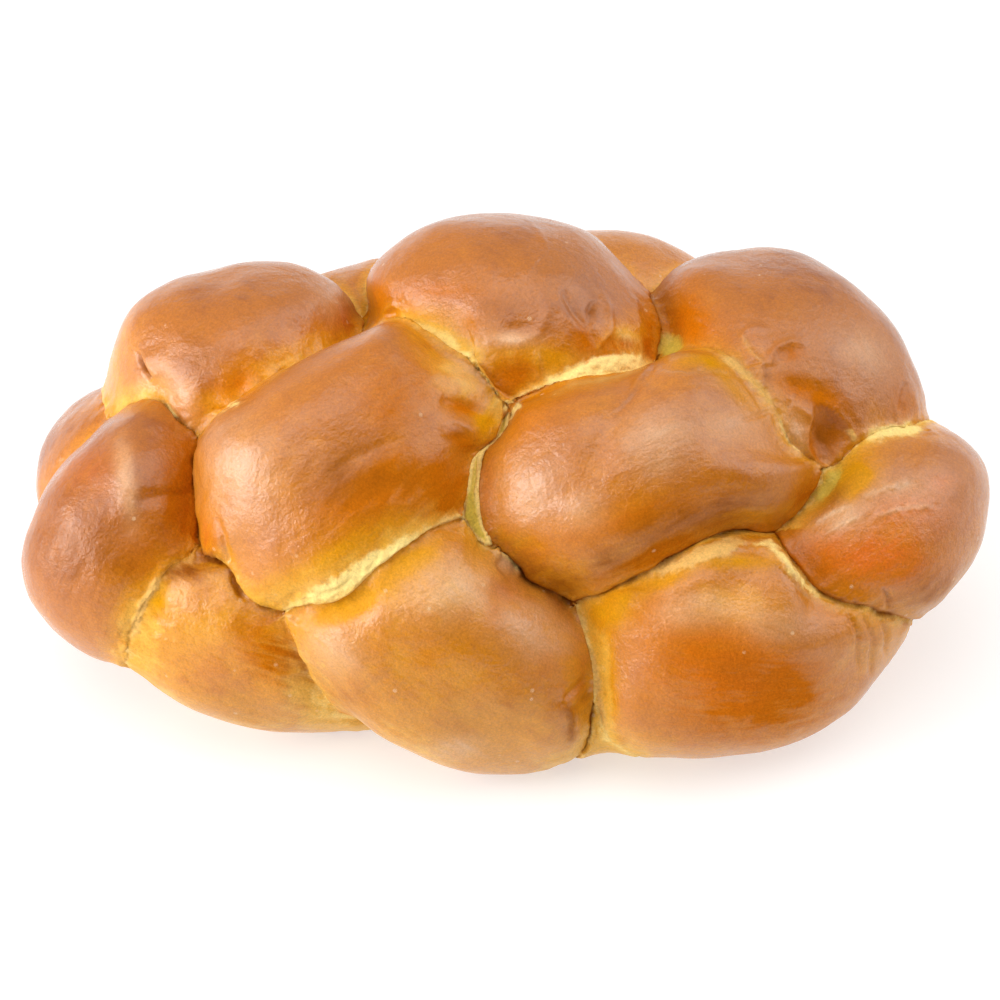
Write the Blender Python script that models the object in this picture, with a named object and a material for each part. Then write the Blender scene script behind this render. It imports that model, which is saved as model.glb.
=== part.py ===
"""Braided challah: one baked loaf whose strand lobes lie in four rows and are fused into one solid.

Metres, +Z up. The origin is under the middle of the loaf, on the surface that it rests on, and the loaf lies
along X with the side that is seen first towards -Y.
"""

from dataclasses import dataclass
from math import radians

import bmesh
import bpy
import numpy as np
from mathutils import Matrix

LOAF_LENGTH = 0.277
LOAF_WIDTH = 0.178
LOAF_HEIGHT = 0.115

MM = 0.001
LOBE_SEGMENTS = 26
LOBE_RINGS = 16
TRAY_REACH = 0.5
TRAY_DEPTH = 0.1

CRUST_COLOUR = (0.47, 0.19, 0.045, 1.0)
CRUST_ROUGHNESS = 0.38


@dataclass(frozen=True)
class Lobe:
    """One swelling of a dough strand where it comes up over its neighbours.

    Sizes are in mm in the braid's own layout, which is scaled to the loaf's three sizes once it is fused. The
    lobe is a full ellipsoid: half sizes along the strand, across it and outwards, squarer as full rises. Its
    outward side points up until lean tips it to the front (or, below zero, to the back) and facing turns it
    to the right. Heading turns the strand in the loaf's surface. Both ends droop by bend, and taper narrows
    the far end.
    """

    at: tuple[float, float, float]
    half: tuple[float, float, float]
    heading: float
    lean: float
    facing: float = 0.0
    bend: float = 8.0
    taper: float = 0.0
    full: float = 2.6


FRONT_TOP_ROW = {
    "left_end": Lobe(at=(-103, -18, 48), half=(38, 26, 32), heading=66, lean=42, facing=-8, bend=6, taper=-0.25),
    "left": Lobe(at=(-44, -20, 68), half=(42, 31, 36), heading=36, lean=36, bend=6, full=3.0),
    "left_tail": Lobe(at=(-8, 7, 73), half=(25, 18, 20), heading=10, lean=15, bend=0, full=2.2),
    "right": Lobe(at=(43, -18, 69), half=(50, 29, 37), heading=22, lean=36, taper=-0.1, full=2.8),
    "right_end": Lobe(at=(102, -21, 47), half=(40, 27, 32), heading=20, lean=38, facing=22, bend=6),
}
BACK_TOP_ROW = {
    "left": Lobe(at=(-76, 24, 63), half=(39, 32, 35), heading=-30, lean=-22),
    "middle": Lobe(at=(4, 29, 74), half=(45, 36, 39), heading=-30, lean=-25),
    "right": Lobe(at=(77, 19, 65), half=(45, 36, 39), heading=-45, lean=-16, full=2.8),
}
FRONT_LOW_ROW = {
    "left": Lobe(at=(-63, -41, 31), half=(46, 30, 27), heading=-25, lean=75, taper=-0.1),
    "middle": Lobe(at=(-17, -48, 38), half=(49, 32, 32), heading=-40, lean=75, full=2.9),
    "wedge": Lobe(at=(29, -50, 16), half=(16, 17, 22), heading=0, lean=75, bend=0, full=2.4),
    "right": Lobe(at=(66, -45, 34), half=(51, 34, 34), heading=-10, lean=75, taper=-0.15),
}
BACK_LOW_ROW = {
    "left_end": Lobe(at=(-108, 16, 33), half=(32, 24, 30), heading=40, lean=-30, facing=30, full=2.4),
    "left": Lobe(at=(-34, 51, 37), half=(42, 35, 34), heading=30, lean=-75),
    "middle": Lobe(at=(31, 56, 42), half=(46, 38, 38), heading=30, lean=-75),
    "right_end": Lobe(at=(88, 38, 32), half=(34, 31, 30), heading=20, lean=-66, facing=-20),
}
INSIDE = {
    "between_strands": Lobe(at=(-7, -17, 54), half=(26, 20, 26), heading=80, lean=40, bend=0, full=2.2),
    "core": Lobe(at=(0, 2, 42), half=(100, 50, 38), heading=0, lean=0, bend=0),
    "underside": Lobe(at=(0, 0, 20), half=(104, 60, 30), heading=0, lean=0, bend=0),
}
ROWS = (FRONT_TOP_ROW, BACK_TOP_ROW, FRONT_LOW_ROW, BACK_LOW_ROW, INSIDE)


def clear_scene() -> None:
    """Removes the objects that the file opened with."""
    for obj in list(bpy.data.objects):
        bpy.data.objects.remove(obj)


def lobe_shape(directions: np.ndarray, lobe: Lobe) -> np.ndarray:
    """Moves points of the unit sphere onto the lobe, in metres.

    Each direction d is stretched until the sum of |d| to the power full is 1, then scaled by the half sizes.
    The width grows by taper from the middle to the far end, and the ends sink by bend with the square of the
    distance along. The result is turned by heading, lean and facing and set in its place.
    """
    stretch = (np.abs(directions) ** lobe.full).sum(axis=1) ** (-1.0 / lobe.full)
    along, across, out = (directions * stretch[:, None]).T
    length, width, depth = lobe.half
    grown = 1.0 + lobe.taper * along
    shape = np.stack(
        [
            length * along,
            width * across * grown,
            depth * out * (1.0 + 0.5 * lobe.taper * along) - lobe.bend * along**2,
        ],
        axis=1,
    )
    turn = (
        Matrix.Rotation(radians(lobe.facing), 3, "Z")
        @ Matrix.Rotation(radians(lobe.lean), 3, "X")
        @ Matrix.Rotation(radians(lobe.heading), 3, "Z")
    )
    return (shape @ np.array(turn).T + np.array(lobe.at)) * MM


def split_into_triangles(mesh: bpy.types.Mesh) -> None:
    """Cuts each bent four-sided face in two flat ones, which a union needs to join cleanly."""
    skin = bmesh.new()
    skin.from_mesh(mesh)
    bmesh.ops.triangulate(skin, faces=skin.faces)
    skin.to_mesh(mesh)
    skin.free()


def add_lobe(name: str, lobe: Lobe, collection: bpy.types.Collection) -> bpy.types.Object:
    """Makes one lobe as a closed mesh from a sphere and links it to the collection."""
    mesh = bpy.data.meshes.new(name)
    ball = bmesh.new()
    bmesh.ops.create_uvsphere(ball, u_segments=LOBE_SEGMENTS, v_segments=LOBE_RINGS, radius=1.0)
    ball.to_mesh(mesh)
    ball.free()
    points = np.empty(len(mesh.vertices) * 3)
    mesh.vertices.foreach_get("co", points)
    directions = points.reshape(-1, 3)
    mesh.vertices.foreach_set("co", lobe_shape(directions, lobe).ravel())
    mesh.update()
    split_into_triangles(mesh)
    obj = bpy.data.objects.new(name, mesh)
    collection.objects.link(obj)
    return obj


def apply_modifiers(obj: bpy.types.Object) -> None:
    """Replaces the object's mesh by what its modifiers make of it."""
    bpy.context.view_layer.update()
    graph = bpy.context.evaluated_depsgraph_get()
    shaped = bpy.data.meshes.new_from_object(obj.evaluated_get(graph), depsgraph=graph)
    obj.modifiers.clear()
    obj.data = shaped


def fuse(body: bpy.types.Object, lobes: bpy.types.Collection) -> None:
    """Joins every lobe of the collection into the body with one Boolean union, and removes the lobes."""
    union = body.modifiers.new("join_lobes", "BOOLEAN")
    union.operation = "UNION"
    union.operand_type = "COLLECTION"
    union.collection = lobes
    union.solver = "EXACT"
    apply_modifiers(body)
    for obj in list(lobes.objects):
        bpy.data.objects.remove(obj)
    bpy.data.collections.remove(lobes)


def shells_of(skin: bmesh.types.BMesh) -> list[set]:
    """Splits a mesh into sets of faces that hang together over edges with just two faces."""
    waiting = set(skin.faces)
    found = []
    while waiting:
        front = {waiting.pop()}
        shell = set(front)
        while front:
            seams = {edge for face in front for edge in face.edges if len(edge.link_faces) == 2}
            front = {face for edge in seams for face in edge.link_faces} - shell
            shell |= front
        waiting -= shell
        found.append(shell)
    return found


def keep_outer_shell(body: bpy.types.Object) -> None:
    """Fills any hollow that the fused lobes seal and drops any scrap: only the largest shell stays."""
    skin = bmesh.new()
    skin.from_mesh(body.data)
    for shell in sorted(shells_of(skin), key=len)[:-1]:
        bmesh.ops.delete(skin, geom=list(shell), context="FACES")
    skin.to_mesh(body.data)
    skin.free()


def flatten_base(body: bpy.types.Object) -> None:
    """Cuts away what lies below the tray that the loaf was baked on."""
    bpy.ops.mesh.primitive_cube_add(size=1.0, location=(0, 0, -TRAY_DEPTH / 2))
    tray = bpy.context.object
    tray.scale = (TRAY_REACH, TRAY_REACH, TRAY_DEPTH)
    cut = body.modifiers.new("flat_base", "BOOLEAN")
    cut.operation = "DIFFERENCE"
    cut.object = tray
    cut.solver = "EXACT"
    apply_modifiers(body)
    bpy.data.objects.remove(tray)


def fit_to_sizes(body: bpy.types.Object) -> None:
    """Scales the fused loaf to its length, width and height, and centres it over the origin."""
    mesh = body.data
    points = np.empty(len(mesh.vertices) * 3)
    mesh.vertices.foreach_get("co", points)
    points = points.reshape(-1, 3)
    lowest, highest = points.min(axis=0), points.max(axis=0)
    middle = (lowest + highest) / 2
    middle[2] = lowest[2]
    scale = np.array([LOAF_LENGTH, LOAF_WIDTH, LOAF_HEIGHT]) / (highest - lowest)
    mesh.vertices.foreach_set("co", ((points - middle) * scale).ravel())
    mesh.update()


def crust_material() -> bpy.types.Material:
    """Egg-washed golden brown crust."""
    material = bpy.data.materials.new("golden_crust")
    material.use_nodes = True
    shader = material.node_tree.nodes["Principled BSDF"]
    shader.inputs["Base Color"].default_value = CRUST_COLOUR
    shader.inputs["Roughness"].default_value = CRUST_ROUGHNESS
    shader.inputs["Metallic"].default_value = 0.0
    return material


def build_loaf() -> bpy.types.Object:
    """Builds the loaf from its rows of lobes."""
    lobes = bpy.data.collections.new("lobes")
    bpy.context.scene.collection.children.link(lobes)
    named = {f"row{number}_{name}": lobe for number, row in enumerate(ROWS) for name, lobe in row.items()}
    objects = [add_lobe(name, lobe, lobes) for name, lobe in named.items()]
    loaf = objects[-1]
    lobes.objects.unlink(loaf)
    bpy.context.scene.collection.objects.link(loaf)
    loaf.name = loaf.data.name = "loaf"
    fuse(loaf, lobes)
    keep_outer_shell(loaf)
    flatten_base(loaf)
    fit_to_sizes(loaf)
    loaf.data.materials.clear()
    loaf.data.materials.append(crust_material())
    loaf.data.shade_smooth()
    return loaf


def main() -> None:
    """Clears the scene and builds the challah."""
    clear_scene()
    build_loaf()


main()
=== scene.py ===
"""Looks of the braided challah: its crust, and the plain studio that it is seen in.

The loaf's skin is worked out in the braid's own layout, in millimetres, from the same lobes as the solid. It
is then fitted to the solid's box and handed over in metres. Places read from the photograph are pixels of
its 1000 by 1000 frame, and are carried onto the lobe that they name.
"""

import logging
from dataclasses import dataclass, field
from enum import Enum
from itertools import product
from math import cos, radians, sin

import bpy
import numpy as np
from mathutils import Matrix, Vector

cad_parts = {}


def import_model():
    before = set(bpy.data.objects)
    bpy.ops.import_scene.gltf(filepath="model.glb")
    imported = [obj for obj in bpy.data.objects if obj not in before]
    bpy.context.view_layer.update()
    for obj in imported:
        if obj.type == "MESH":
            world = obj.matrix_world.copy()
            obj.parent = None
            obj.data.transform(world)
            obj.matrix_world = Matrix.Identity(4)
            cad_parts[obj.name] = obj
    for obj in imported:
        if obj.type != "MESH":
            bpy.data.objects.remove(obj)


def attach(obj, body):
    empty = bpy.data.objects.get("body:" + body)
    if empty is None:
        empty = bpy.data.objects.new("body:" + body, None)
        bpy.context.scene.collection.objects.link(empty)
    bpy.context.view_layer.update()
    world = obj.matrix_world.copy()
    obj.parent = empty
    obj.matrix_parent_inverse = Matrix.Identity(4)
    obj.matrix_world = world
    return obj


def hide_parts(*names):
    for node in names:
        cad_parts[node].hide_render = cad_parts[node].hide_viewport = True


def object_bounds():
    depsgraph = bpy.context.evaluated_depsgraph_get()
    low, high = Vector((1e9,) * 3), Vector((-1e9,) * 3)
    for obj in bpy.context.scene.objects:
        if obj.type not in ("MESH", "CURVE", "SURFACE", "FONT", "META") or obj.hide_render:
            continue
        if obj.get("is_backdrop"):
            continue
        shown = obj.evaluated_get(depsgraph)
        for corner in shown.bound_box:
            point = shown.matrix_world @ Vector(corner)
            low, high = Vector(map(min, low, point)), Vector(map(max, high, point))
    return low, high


log = logging.getLogger("challah")

Array = np.ndarray
Colour = tuple[float, float, float]
Pixel = tuple[float, float]

MM = 0.001
FRAME_PIXELS = 1000
SENSOR_MM = 36.0


@dataclass(frozen=True)
class Lobe:
    """One swelling of a dough strand where it comes up over its neighbours, in millimetres.

    It is a full ellipsoid: half sizes along the strand, across it and outwards, squarer as full rises. Lean
    tips its outward side to the front, or below zero to the back, and facing turns it to the right. Heading
    turns the strand in the loaf's surface, both ends droop by bend, and taper narrows the far end. Tone is
    how much browner it is baked than its neighbours.
    """

    narrowest = 0.3
    widest = 2.0
    at: tuple[float, float, float]
    half: tuple[float, float, float]
    heading: float
    lean: float
    facing: float = 0.0
    bend: float = 8.0
    taper: float = 0.0
    full: float = 2.6
    tone: float = 0.0

    def turn(self) -> Array:
        """Returns the rotation from the lobe's own axes to the layout's."""
        turn = (
            Matrix.Rotation(radians(self.facing), 3, "Z")
            @ Matrix.Rotation(radians(self.lean), 3, "X")
            @ Matrix.Rotation(radians(self.heading), 3, "Z")
        )
        return np.array(turn)

    def grid(self, around: int, rings: int) -> Array:
        """Places a grid of directions on the lobe's surface.

        Each direction d is stretched until the sum of |d| to the power full is 1, then scaled by the half
        sizes; the width grows by taper towards the far end, and the ends sink by bend times the distance
        along, squared.

        Args:
            around: Points on each ring.
            rings: Rings from pole to pole, with the poles left out.

        Returns:
            Points of shape (rings, around, 3).
        """
        turn = np.linspace(-np.pi, np.pi, around, endpoint=False)[None, :]
        rise = np.linspace(-np.pi / 2, np.pi / 2, rings + 2)[1:-1, None]
        level = np.cos(rise)
        ways = np.stack([level * np.cos(turn), level * np.sin(turn), np.sin(rise) + 0 * turn], -1)
        stretch = (np.abs(ways) ** self.full).sum(-1) ** (-1.0 / self.full)
        along, across, out = np.moveaxis(ways * stretch[..., None], -1, 0)
        length, width, depth = self.half
        shape = np.stack(
            [
                length * along,
                width * across * (1.0 + self.taper * along),
                depth * out * (1.0 + 0.5 * self.taper * along) - self.bend * along**2,
            ],
            -1,
        )
        return shape @ self.turn().T + np.array(self.at)

    def strand(self, points: Array) -> Array:
        """Returns the points in the lobe's own axes: along the strand, across it and outwards."""
        return (points - np.array(self.at)) @ self.turn()

    def level(self, points: Array) -> tuple[Array, Array]:
        """Measures how far points lie from the lobe's surface.

        The points are unbent and scaled to the unit shape, where s is the full-th root of the sum of |q| to
        the power full. The distance is (s - 1) over the length of its slope.

        Args:
            points: Points of shape (n, 3).

        Returns:
            The distances, negative inside, and the outward directions of shape (n, 3).
        """
        length, width, depth = self.half
        x, y, z = self.strand(points).T
        along = x / length
        widen = np.clip(1.0 + self.taper * along, self.narrowest, self.widest)
        deepen = np.clip(1.0 + 0.5 * self.taper * along, self.narrowest, self.widest)
        across = y / (width * widen)
        out = (z + self.bend * along**2) / (depth * deepen)
        shape = np.abs(np.stack([along, across, out], 1)) + 1e-6
        size = (shape**self.full).sum(1) ** (1.0 / self.full)
        rise = (shape / size[:, None]) ** (self.full - 1.0) * np.sign(np.stack([along, across, out], 1))
        slope = rise / np.stack([np.full_like(x, length), width * widen, depth * deepen], 1)
        slope[:, 0] += rise[:, 2] * 2.0 * self.bend * along / (length * depth * deepen)
        steep = np.linalg.norm(slope, axis=1)
        return (size - 1.0) / steep, (slope / steep[:, None]) @ self.turn().T


LOBES: dict[str, Lobe] = {
    "front_top_left_end": Lobe(
        at=(-103, -18, 48), half=(38, 26, 32), heading=66, lean=42, facing=-8, bend=6, taper=-0.25,
        full=2.4, tone=0.15
    ),
    "front_top_left": Lobe(
        at=(-44, -20, 68), half=(42, 31, 36), heading=36, lean=36, bend=6, full=2.5, tone=-0.04
    ),
    "left_tail": Lobe(at=(-8, 7, 73), half=(25, 18, 20), heading=10, lean=15, bend=0, full=2.2, tone=-0.2),
    "front_top_right": Lobe(
        at=(43, -18, 69), half=(50, 29, 37), heading=22, lean=36, taper=-0.1, full=2.5, tone=-0.06
    ),
    "front_top_right_end": Lobe(
        at=(102, -21, 47), half=(40, 27, 32), heading=20, lean=38, facing=22, bend=6, full=2.4, tone=-0.02
    ),
    "back_top_left": Lobe(at=(-76, 24, 63), half=(39, 32, 35), heading=-30, lean=-22, full=2.4, tone=0.04),
    "back_top_middle": Lobe(at=(4, 29, 74), half=(45, 36, 39), heading=-30, lean=-25, full=2.4, tone=0.05),
    "back_top_right": Lobe(at=(77, 19, 65), half=(45, 36, 39), heading=-45, lean=-16, full=2.6, tone=0.07),
    "front_low_left": Lobe(
        at=(-63, -41, 31), half=(46, 30, 27), heading=-25, lean=75, taper=-0.1, full=2.4, tone=-0.16
    ),
    "front_low_middle": Lobe(
        at=(-17, -48, 38), half=(49, 32, 32), heading=-40, lean=75, full=2.6, tone=-0.17
    ),
    "front_low_wedge": Lobe(
        at=(29, -50, 16), half=(16, 17, 22), heading=0, lean=75, bend=0, full=2.4, tone=-0.2
    ),
    "front_low_right": Lobe(
        at=(66, -45, 34), half=(51, 34, 34), heading=-10, lean=75, taper=-0.15, full=2.4, tone=-0.04
    ),
    "back_low_left_end": Lobe(
        at=(-108, 16, 33), half=(32, 24, 30), heading=40, lean=-30, facing=30, full=2.4, tone=0.24
    ),
    "back_low_left": Lobe(at=(-34, 51, 37), half=(42, 35, 34), heading=30, lean=-75, tone=-0.04),
    "back_low_middle": Lobe(at=(31, 56, 42), half=(46, 38, 38), heading=30, lean=-75, tone=-0.12),
    "back_low_right_end": Lobe(at=(88, 38, 32), half=(34, 31, 30), heading=20, lean=-66, facing=-20),
    "between_strands": Lobe(
        at=(-7, -20, 57), half=(27, 20, 26), heading=80, lean=40, bend=0, full=2.2, tone=-0.6
    ),
    "core": Lobe(at=(0, 2, 42), half=(100, 50, 38), heading=0, lean=0, bend=0, tone=-0.3),
    "underside": Lobe(at=(0, 0, 20), half=(104, 60, 30), heading=0, lean=0, bend=0, tone=-0.1),
}
NAMES = tuple(LOBES)
TAIL_OF = {"left_tail": "front_top_left"}
STRANDS = np.array([NAMES.index(TAIL_OF.get(name, name)) for name in NAMES])


@dataclass(frozen=True)
class Viewpoint:
    """The photograph's camera, in the layout: looking up the loaf's front at an angle from above."""

    elevation: float = 45.0
    distance: float = 1100.0
    focal_pixels: float = 3791.0
    target: tuple[float, float, float] = (0.0, 0.0, 42.0)

    def axes(self) -> tuple[Array, Array]:
        """Returns the viewing direction and the picture's upward direction."""
        rise = radians(self.elevation)
        return np.array([0.0, cos(rise), -sin(rise)]), np.array([0.0, sin(rise), cos(rise)])

    def pixels(self, points: Array) -> Array:
        """Finds where points appear in the picture.

        Args:
            points: Points of the layout, of shape (n, 3).

        Returns:
            Pixels of shape (n, 2).
        """
        ahead, upward = self.axes()
        from_target = points - np.array(self.target)
        depth = self.distance + from_target @ ahead
        middle = FRAME_PIXELS / 2
        right = middle + self.focal_pixels * from_target[:, 0] / depth
        down = middle - self.focal_pixels * (from_target @ upward) / depth
        return np.stack([right, down], 1)

    def mm_per_pixel(self) -> float:
        """Returns the size of a pixel on the loaf."""
        return self.distance / self.focal_pixels


class Noise:
    """Smooth seeded noise: random slopes on a lattice, faded from corner to corner of each cell."""

    period = 256
    layer_shift = 17.3

    def __init__(self, seed: int) -> None:
        """Draws the slopes and their order from the seed.

        Args:
            seed: What the draw starts from.
        """
        draw = np.random.default_rng(seed)
        self.order = draw.permutation(self.period)
        slopes = draw.normal(size=(self.period, 3))
        self.slopes = slopes / np.linalg.norm(slopes, axis=1)[:, None]

    def at(self, points: Array) -> Array:
        """Reads the noise.

        Args:
            points: Points of shape (n, 3), in cells.

        Returns:
            Values of about -0.7 to 0.7.
        """
        cell = np.floor(points).astype(int)
        part = points - cell
        fade = part**3 * (part * (part * 6.0 - 15.0) + 10.0)
        total = np.zeros(len(points))
        wrap = self.period - 1
        for corner in product((0, 1), repeat=3):
            x, y, z = ((cell + np.array(corner)) & wrap).T
            slope = self.slopes[self.order[(self.order[(self.order[x] + y) & wrap] + z) & wrap]]
            weight = np.prod(np.where(corner, fade, 1.0 - fade), axis=1)
            total += weight * ((part - np.array(corner)) * slope).sum(1)
        return total

    def layered(self, points: Array, layers: int, gain: float = 0.5) -> Array:
        """Returns a sum of finer and fainter layers of the noise."""
        return sum(gain**i * self.at(points * 2.0**i + self.layer_shift * i) for i in range(layers))


def smooth_step(values: Array, low: float, high: float) -> Array:
    """Returns 0 below low and 1 above high, with an even S between."""
    part = np.clip((values - low) / (high - low), 0.0, 1.0)
    return part * part * (3.0 - 2.0 * part)


@dataclass(frozen=True)
class Seam:
    """How one strand lies against another along a line of the photograph.

    The valley between them is filled where they lie closer than fill, and a slit is pressed into it: depth is
    how deep and reach how far its sides spread, all in millimetres. Step raises the strand that lies over and
    sinks the one under it. Pale is how unbaked the upper and the lower strand are beside the line, and pale
    reach how many millimetres wide. Amber is how much egg wash has gathered there, and line is how dark the
    painted contact shadow is where they touch, together with the dark of the crack itself.
    """

    over: str
    under: str
    path: tuple[Pixel, ...] = ()
    depth: float = 1.1
    reach: float = 0.9
    fill: float = 5.0
    step: float = 0.7
    pale: tuple[float, float] = (0.35, 0.55)
    pale_reach: float = 6.0
    amber: float = 0.0
    line: float = 0.3


T1, T2, T3 = "back_top_left", "back_top_middle", "back_top_right"
M1, M2 = "front_top_left", "front_top_right"
LEFT_END, RIGHT_END, LOW_END = "front_top_left_end", "front_top_right_end", "back_low_left_end"
B1, B2, B3 = "front_low_left", "front_low_middle", "front_low_right"
TAIL, WEDGE, C1 = "left_tail", "front_low_wedge", "between_strands"
K1, K2 = "back_low_left", "back_low_middle"
SEAMS = (
    Seam(LEFT_END, T1, ((108, 421), (122, 413), (140, 402), (155, 398), (165, 401), (171, 410),
         (178, 421), (187, 428), (200, 435)), step=0.3, line=0.9, pale=(0.0, 0.6)),
    Seam(M1, T1, ((200, 435), (206, 426), (214, 417), (224, 410), (236, 404), (247, 398), (256, 388),
         (268, 380), (285, 370), (305, 359), (325, 349), (340, 341), (357, 335)), pale_reach=7.0,
         pale=(0.2, 0.45)),
    Seam(LEFT_END, LOW_END, ((40, 500), (46, 488), (56, 474), (68, 460), (82, 446), (96, 433),
         (108, 421)), pale_reach=9.0, pale=(0.1, 0.35)),
    Seam(T1, LOW_END, ((106, 390), (107, 402), (110, 420)), pale=(0.35, 0.2)),
    Seam(M1, LEFT_END, ((200, 435), (196, 450), (195, 470), (196, 490), (198, 510), (199, 530),
         (200, 553)), depth=1.5, fill=3.5, step=0.5, amber=0.6, line=0.45, pale=(0.1, 0.1)),
    Seam(M1, B1, ((200, 553), (215, 557), (229, 561), (235, 572), (241, 588), (247, 598), (257, 604),
         (270, 608), (286, 611)), depth=2.2, fill=3.0, step=1.0, line=1.0, pale=(0.4, 0.15)),
    Seam(LEFT_END, B1, ((200, 556), (188, 559), (176, 563), (166, 572), (158, 585), (149, 596),
         (143, 604), (139, 616), (133, 632), (128, 648), (130, 660)), depth=0.2, fill=7.0, step=0.4,
         line=0.1, amber=0.5, pale=(0.6, 0.5)),
    Seam(B2, B1, ((287, 612), (291, 626), (297, 642), (304, 657), (313, 673), (323, 688), (335, 701),
         (348, 713), (363, 724)), step=0.9, pale_reach=8.0, pale=(0.15, 0.6)),
    Seam(M1, B2, ((287, 611), (295, 604), (305, 600), (315, 602), (328, 602), (340, 599), (351, 593),
         (361, 583), (373, 571), (387, 559), (400, 549), (415, 539), (430, 530), (447, 525), (455, 518)),
         depth=0.4, step=0.8, amber=0.6, line=0.1, pale=(0.95, 0.3)),
    Seam(M1, C1, ((455, 518), (460, 507), (463, 495), (466, 480), (468, 465), (470, 448)), depth=0.0,
         step=0.3, fill=8.0, amber=0.3, line=0.1, pale=(0.2, 1.0)),
    Seam(TAIL, C1, ((470, 448), (484, 446), (495, 434), (504, 420), (511, 405)), depth=0.0, step=0.3,
         fill=12.0, line=0.1, pale=(0.7, 1.0)),
    Seam(M2, C1, ((485, 448), (483, 470), (482, 490), (481, 508), (484, 522), (491, 535), (499, 547)),
         depth=0.0, step=0.4, fill=8.0, amber=0.5, line=0.15, pale=(0.1, 1.0)),
    Seam(M2, TAIL, ((514, 404), (508, 416), (501, 428), (493, 439), (485, 450)), depth=0.0, fill=12.0,
         amber=0.4, line=0.1, pale=(0.1, 0.9)),
    Seam(B2, C1, ((458, 516), (466, 530), (475, 541), (485, 550), (497, 551)), depth=0.0, step=0.3,
         fill=8.0, line=0.1, pale=(0.3, 1.0)),
    Seam(M1, T2, ((371, 328), (385, 325), (397, 328), (406, 335), (418, 343), (432, 350)), depth=0.3,
         step=0.3, line=0.0, amber=0.4, fill=7.0, pale=(0.5, 0.8)),
    Seam(TAIL, T2, ((432, 350), (450, 357), (465, 360), (476, 362), (483, 372), (491, 382), (499, 392),
         (510, 401)), depth=-1.6, fill=15.0, step=0.2, line=0.0, reach=2.5, pale=(0.6, 0.5)),
    Seam(M1, TAIL, depth=-5.0, reach=7.0, fill=0.1, step=0.0, pale=(0.0, 0.0)),
    Seam(M2, T2, ((516, 404), (531, 397), (546, 391), (561, 386), (576, 380), (592, 381), (612, 378),
         (632, 373), (646, 367), (656, 364)), depth=0.2, step=0.2, amber=0.3, line=0.15,
         pale=(0.1, 0.95)),
    Seam(T2, T3, ((650, 299), (655, 311), (659, 324), (660, 336), (658, 348), (656, 360)), amber=0.6,
         line=0.5, pale=(0.1, 0.3)),
    Seam(M2, T3, ((660, 358), (672, 352), (688, 350), (703, 351), (717, 354), (729, 361), (740, 370),
         (750, 382), (759, 394), (768, 406), (776, 418), (780, 433), (788, 447), (800, 457), (813, 465),
         (824, 471)), depth=0.5, fill=7.0, step=0.2, pale_reach=3.0, line=0.35, pale=(0.3, 0.3)),
    Seam(M2, RIGHT_END, ((824, 471), (816, 484), (808, 497), (797, 509), (786, 520), (772, 531)),
         pale_reach=8.0, amber=0.3, pale=(0.0, 0.8)),
    Seam(T3, RIGHT_END, ((824, 471), (836, 463), (848, 453), (857, 443), (866, 436), (882, 430),
         (902, 427), (926, 425)), step=0.2, pale_reach=4.5, pale=(0.3, 0.9)),
    Seam(RIGHT_END, B3, ((771, 532), (778, 543), (787, 557), (798, 571), (810, 583), (824, 594),
         (838, 601), (852, 604), (870, 608), (886, 613), (902, 617), (921, 616)), step=1.0,
         pale_reach=4.0, amber=0.4, line=0.8, pale=(0.0, 0.6)),
    Seam(M2, B3, ((571, 598), (585, 597), (600, 592), (615, 586), (632, 577), (650, 568), (668, 559),
         (684, 549), (700, 540), (716, 534), (732, 530), (746, 529), (758, 531), (771, 532)), depth=1.8,
         step=1.1, amber=0.4, line=0.75, pale=(0.05, 0.8)),
    Seam(M2, B2, ((499, 547), (508, 554), (520, 560), (521, 573), (527, 580), (540, 583), (553, 588),
         (564, 594), (571, 598)), depth=2.0, step=1.2, amber=0.4, line=1.3, pale=(0.05, 0.2)),
    Seam(B2, B3, ((571, 598), (575, 610), (580, 622), (585, 638), (589, 652), (592, 667), (593, 683),
         (594, 697)), depth=0.3, step=0.4, pale_reach=6.5, line=0.1, pale=(0.15, 0.95)),
    Seam(B2, WEDGE, ((594, 697), (591, 712), (588, 728), (585, 743), (581, 757)), depth=1.4, step=0.4,
         line=1.2, pale=(0.2, 0.7)),
    Seam(B3, WEDGE, ((594, 697), (597, 710), (603, 723), (612, 737), (621, 748)), depth=0.4, step=0.3,
         line=0.2, pale=(0.7, 0.8)),
    Seam(T1, K1, ((325, 276), (340, 287), (350, 299), (356, 313), (358, 330)), amber=0.3,
         pale=(0.1, 0.8)),
    Seam(T2, K1, ((372, 261), (366, 275), (365, 288), (367, 303), (369, 318), (369, 328)), amber=0.3,
         pale=(0.1, 0.8)),
    Seam(T2, K2, ((583, 230), (600, 241), (615, 255), (630, 272), (641, 288), (650, 299)),
         pale=(0.1, 0.5)),
    Seam(T3, K2, ((697, 257), (680, 264), (666, 275), (656, 287), (650, 299)), pale=(0.1, 0.5)),
    Seam("underside", "core", depth=-2.0, reach=4.0, fill=0.1, step=0.0, pale=(0.0, 0.0)),
)
HIDDEN_SEAM = Seam("", "", depth=2.2, reach=1.5, step=1.1)

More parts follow.
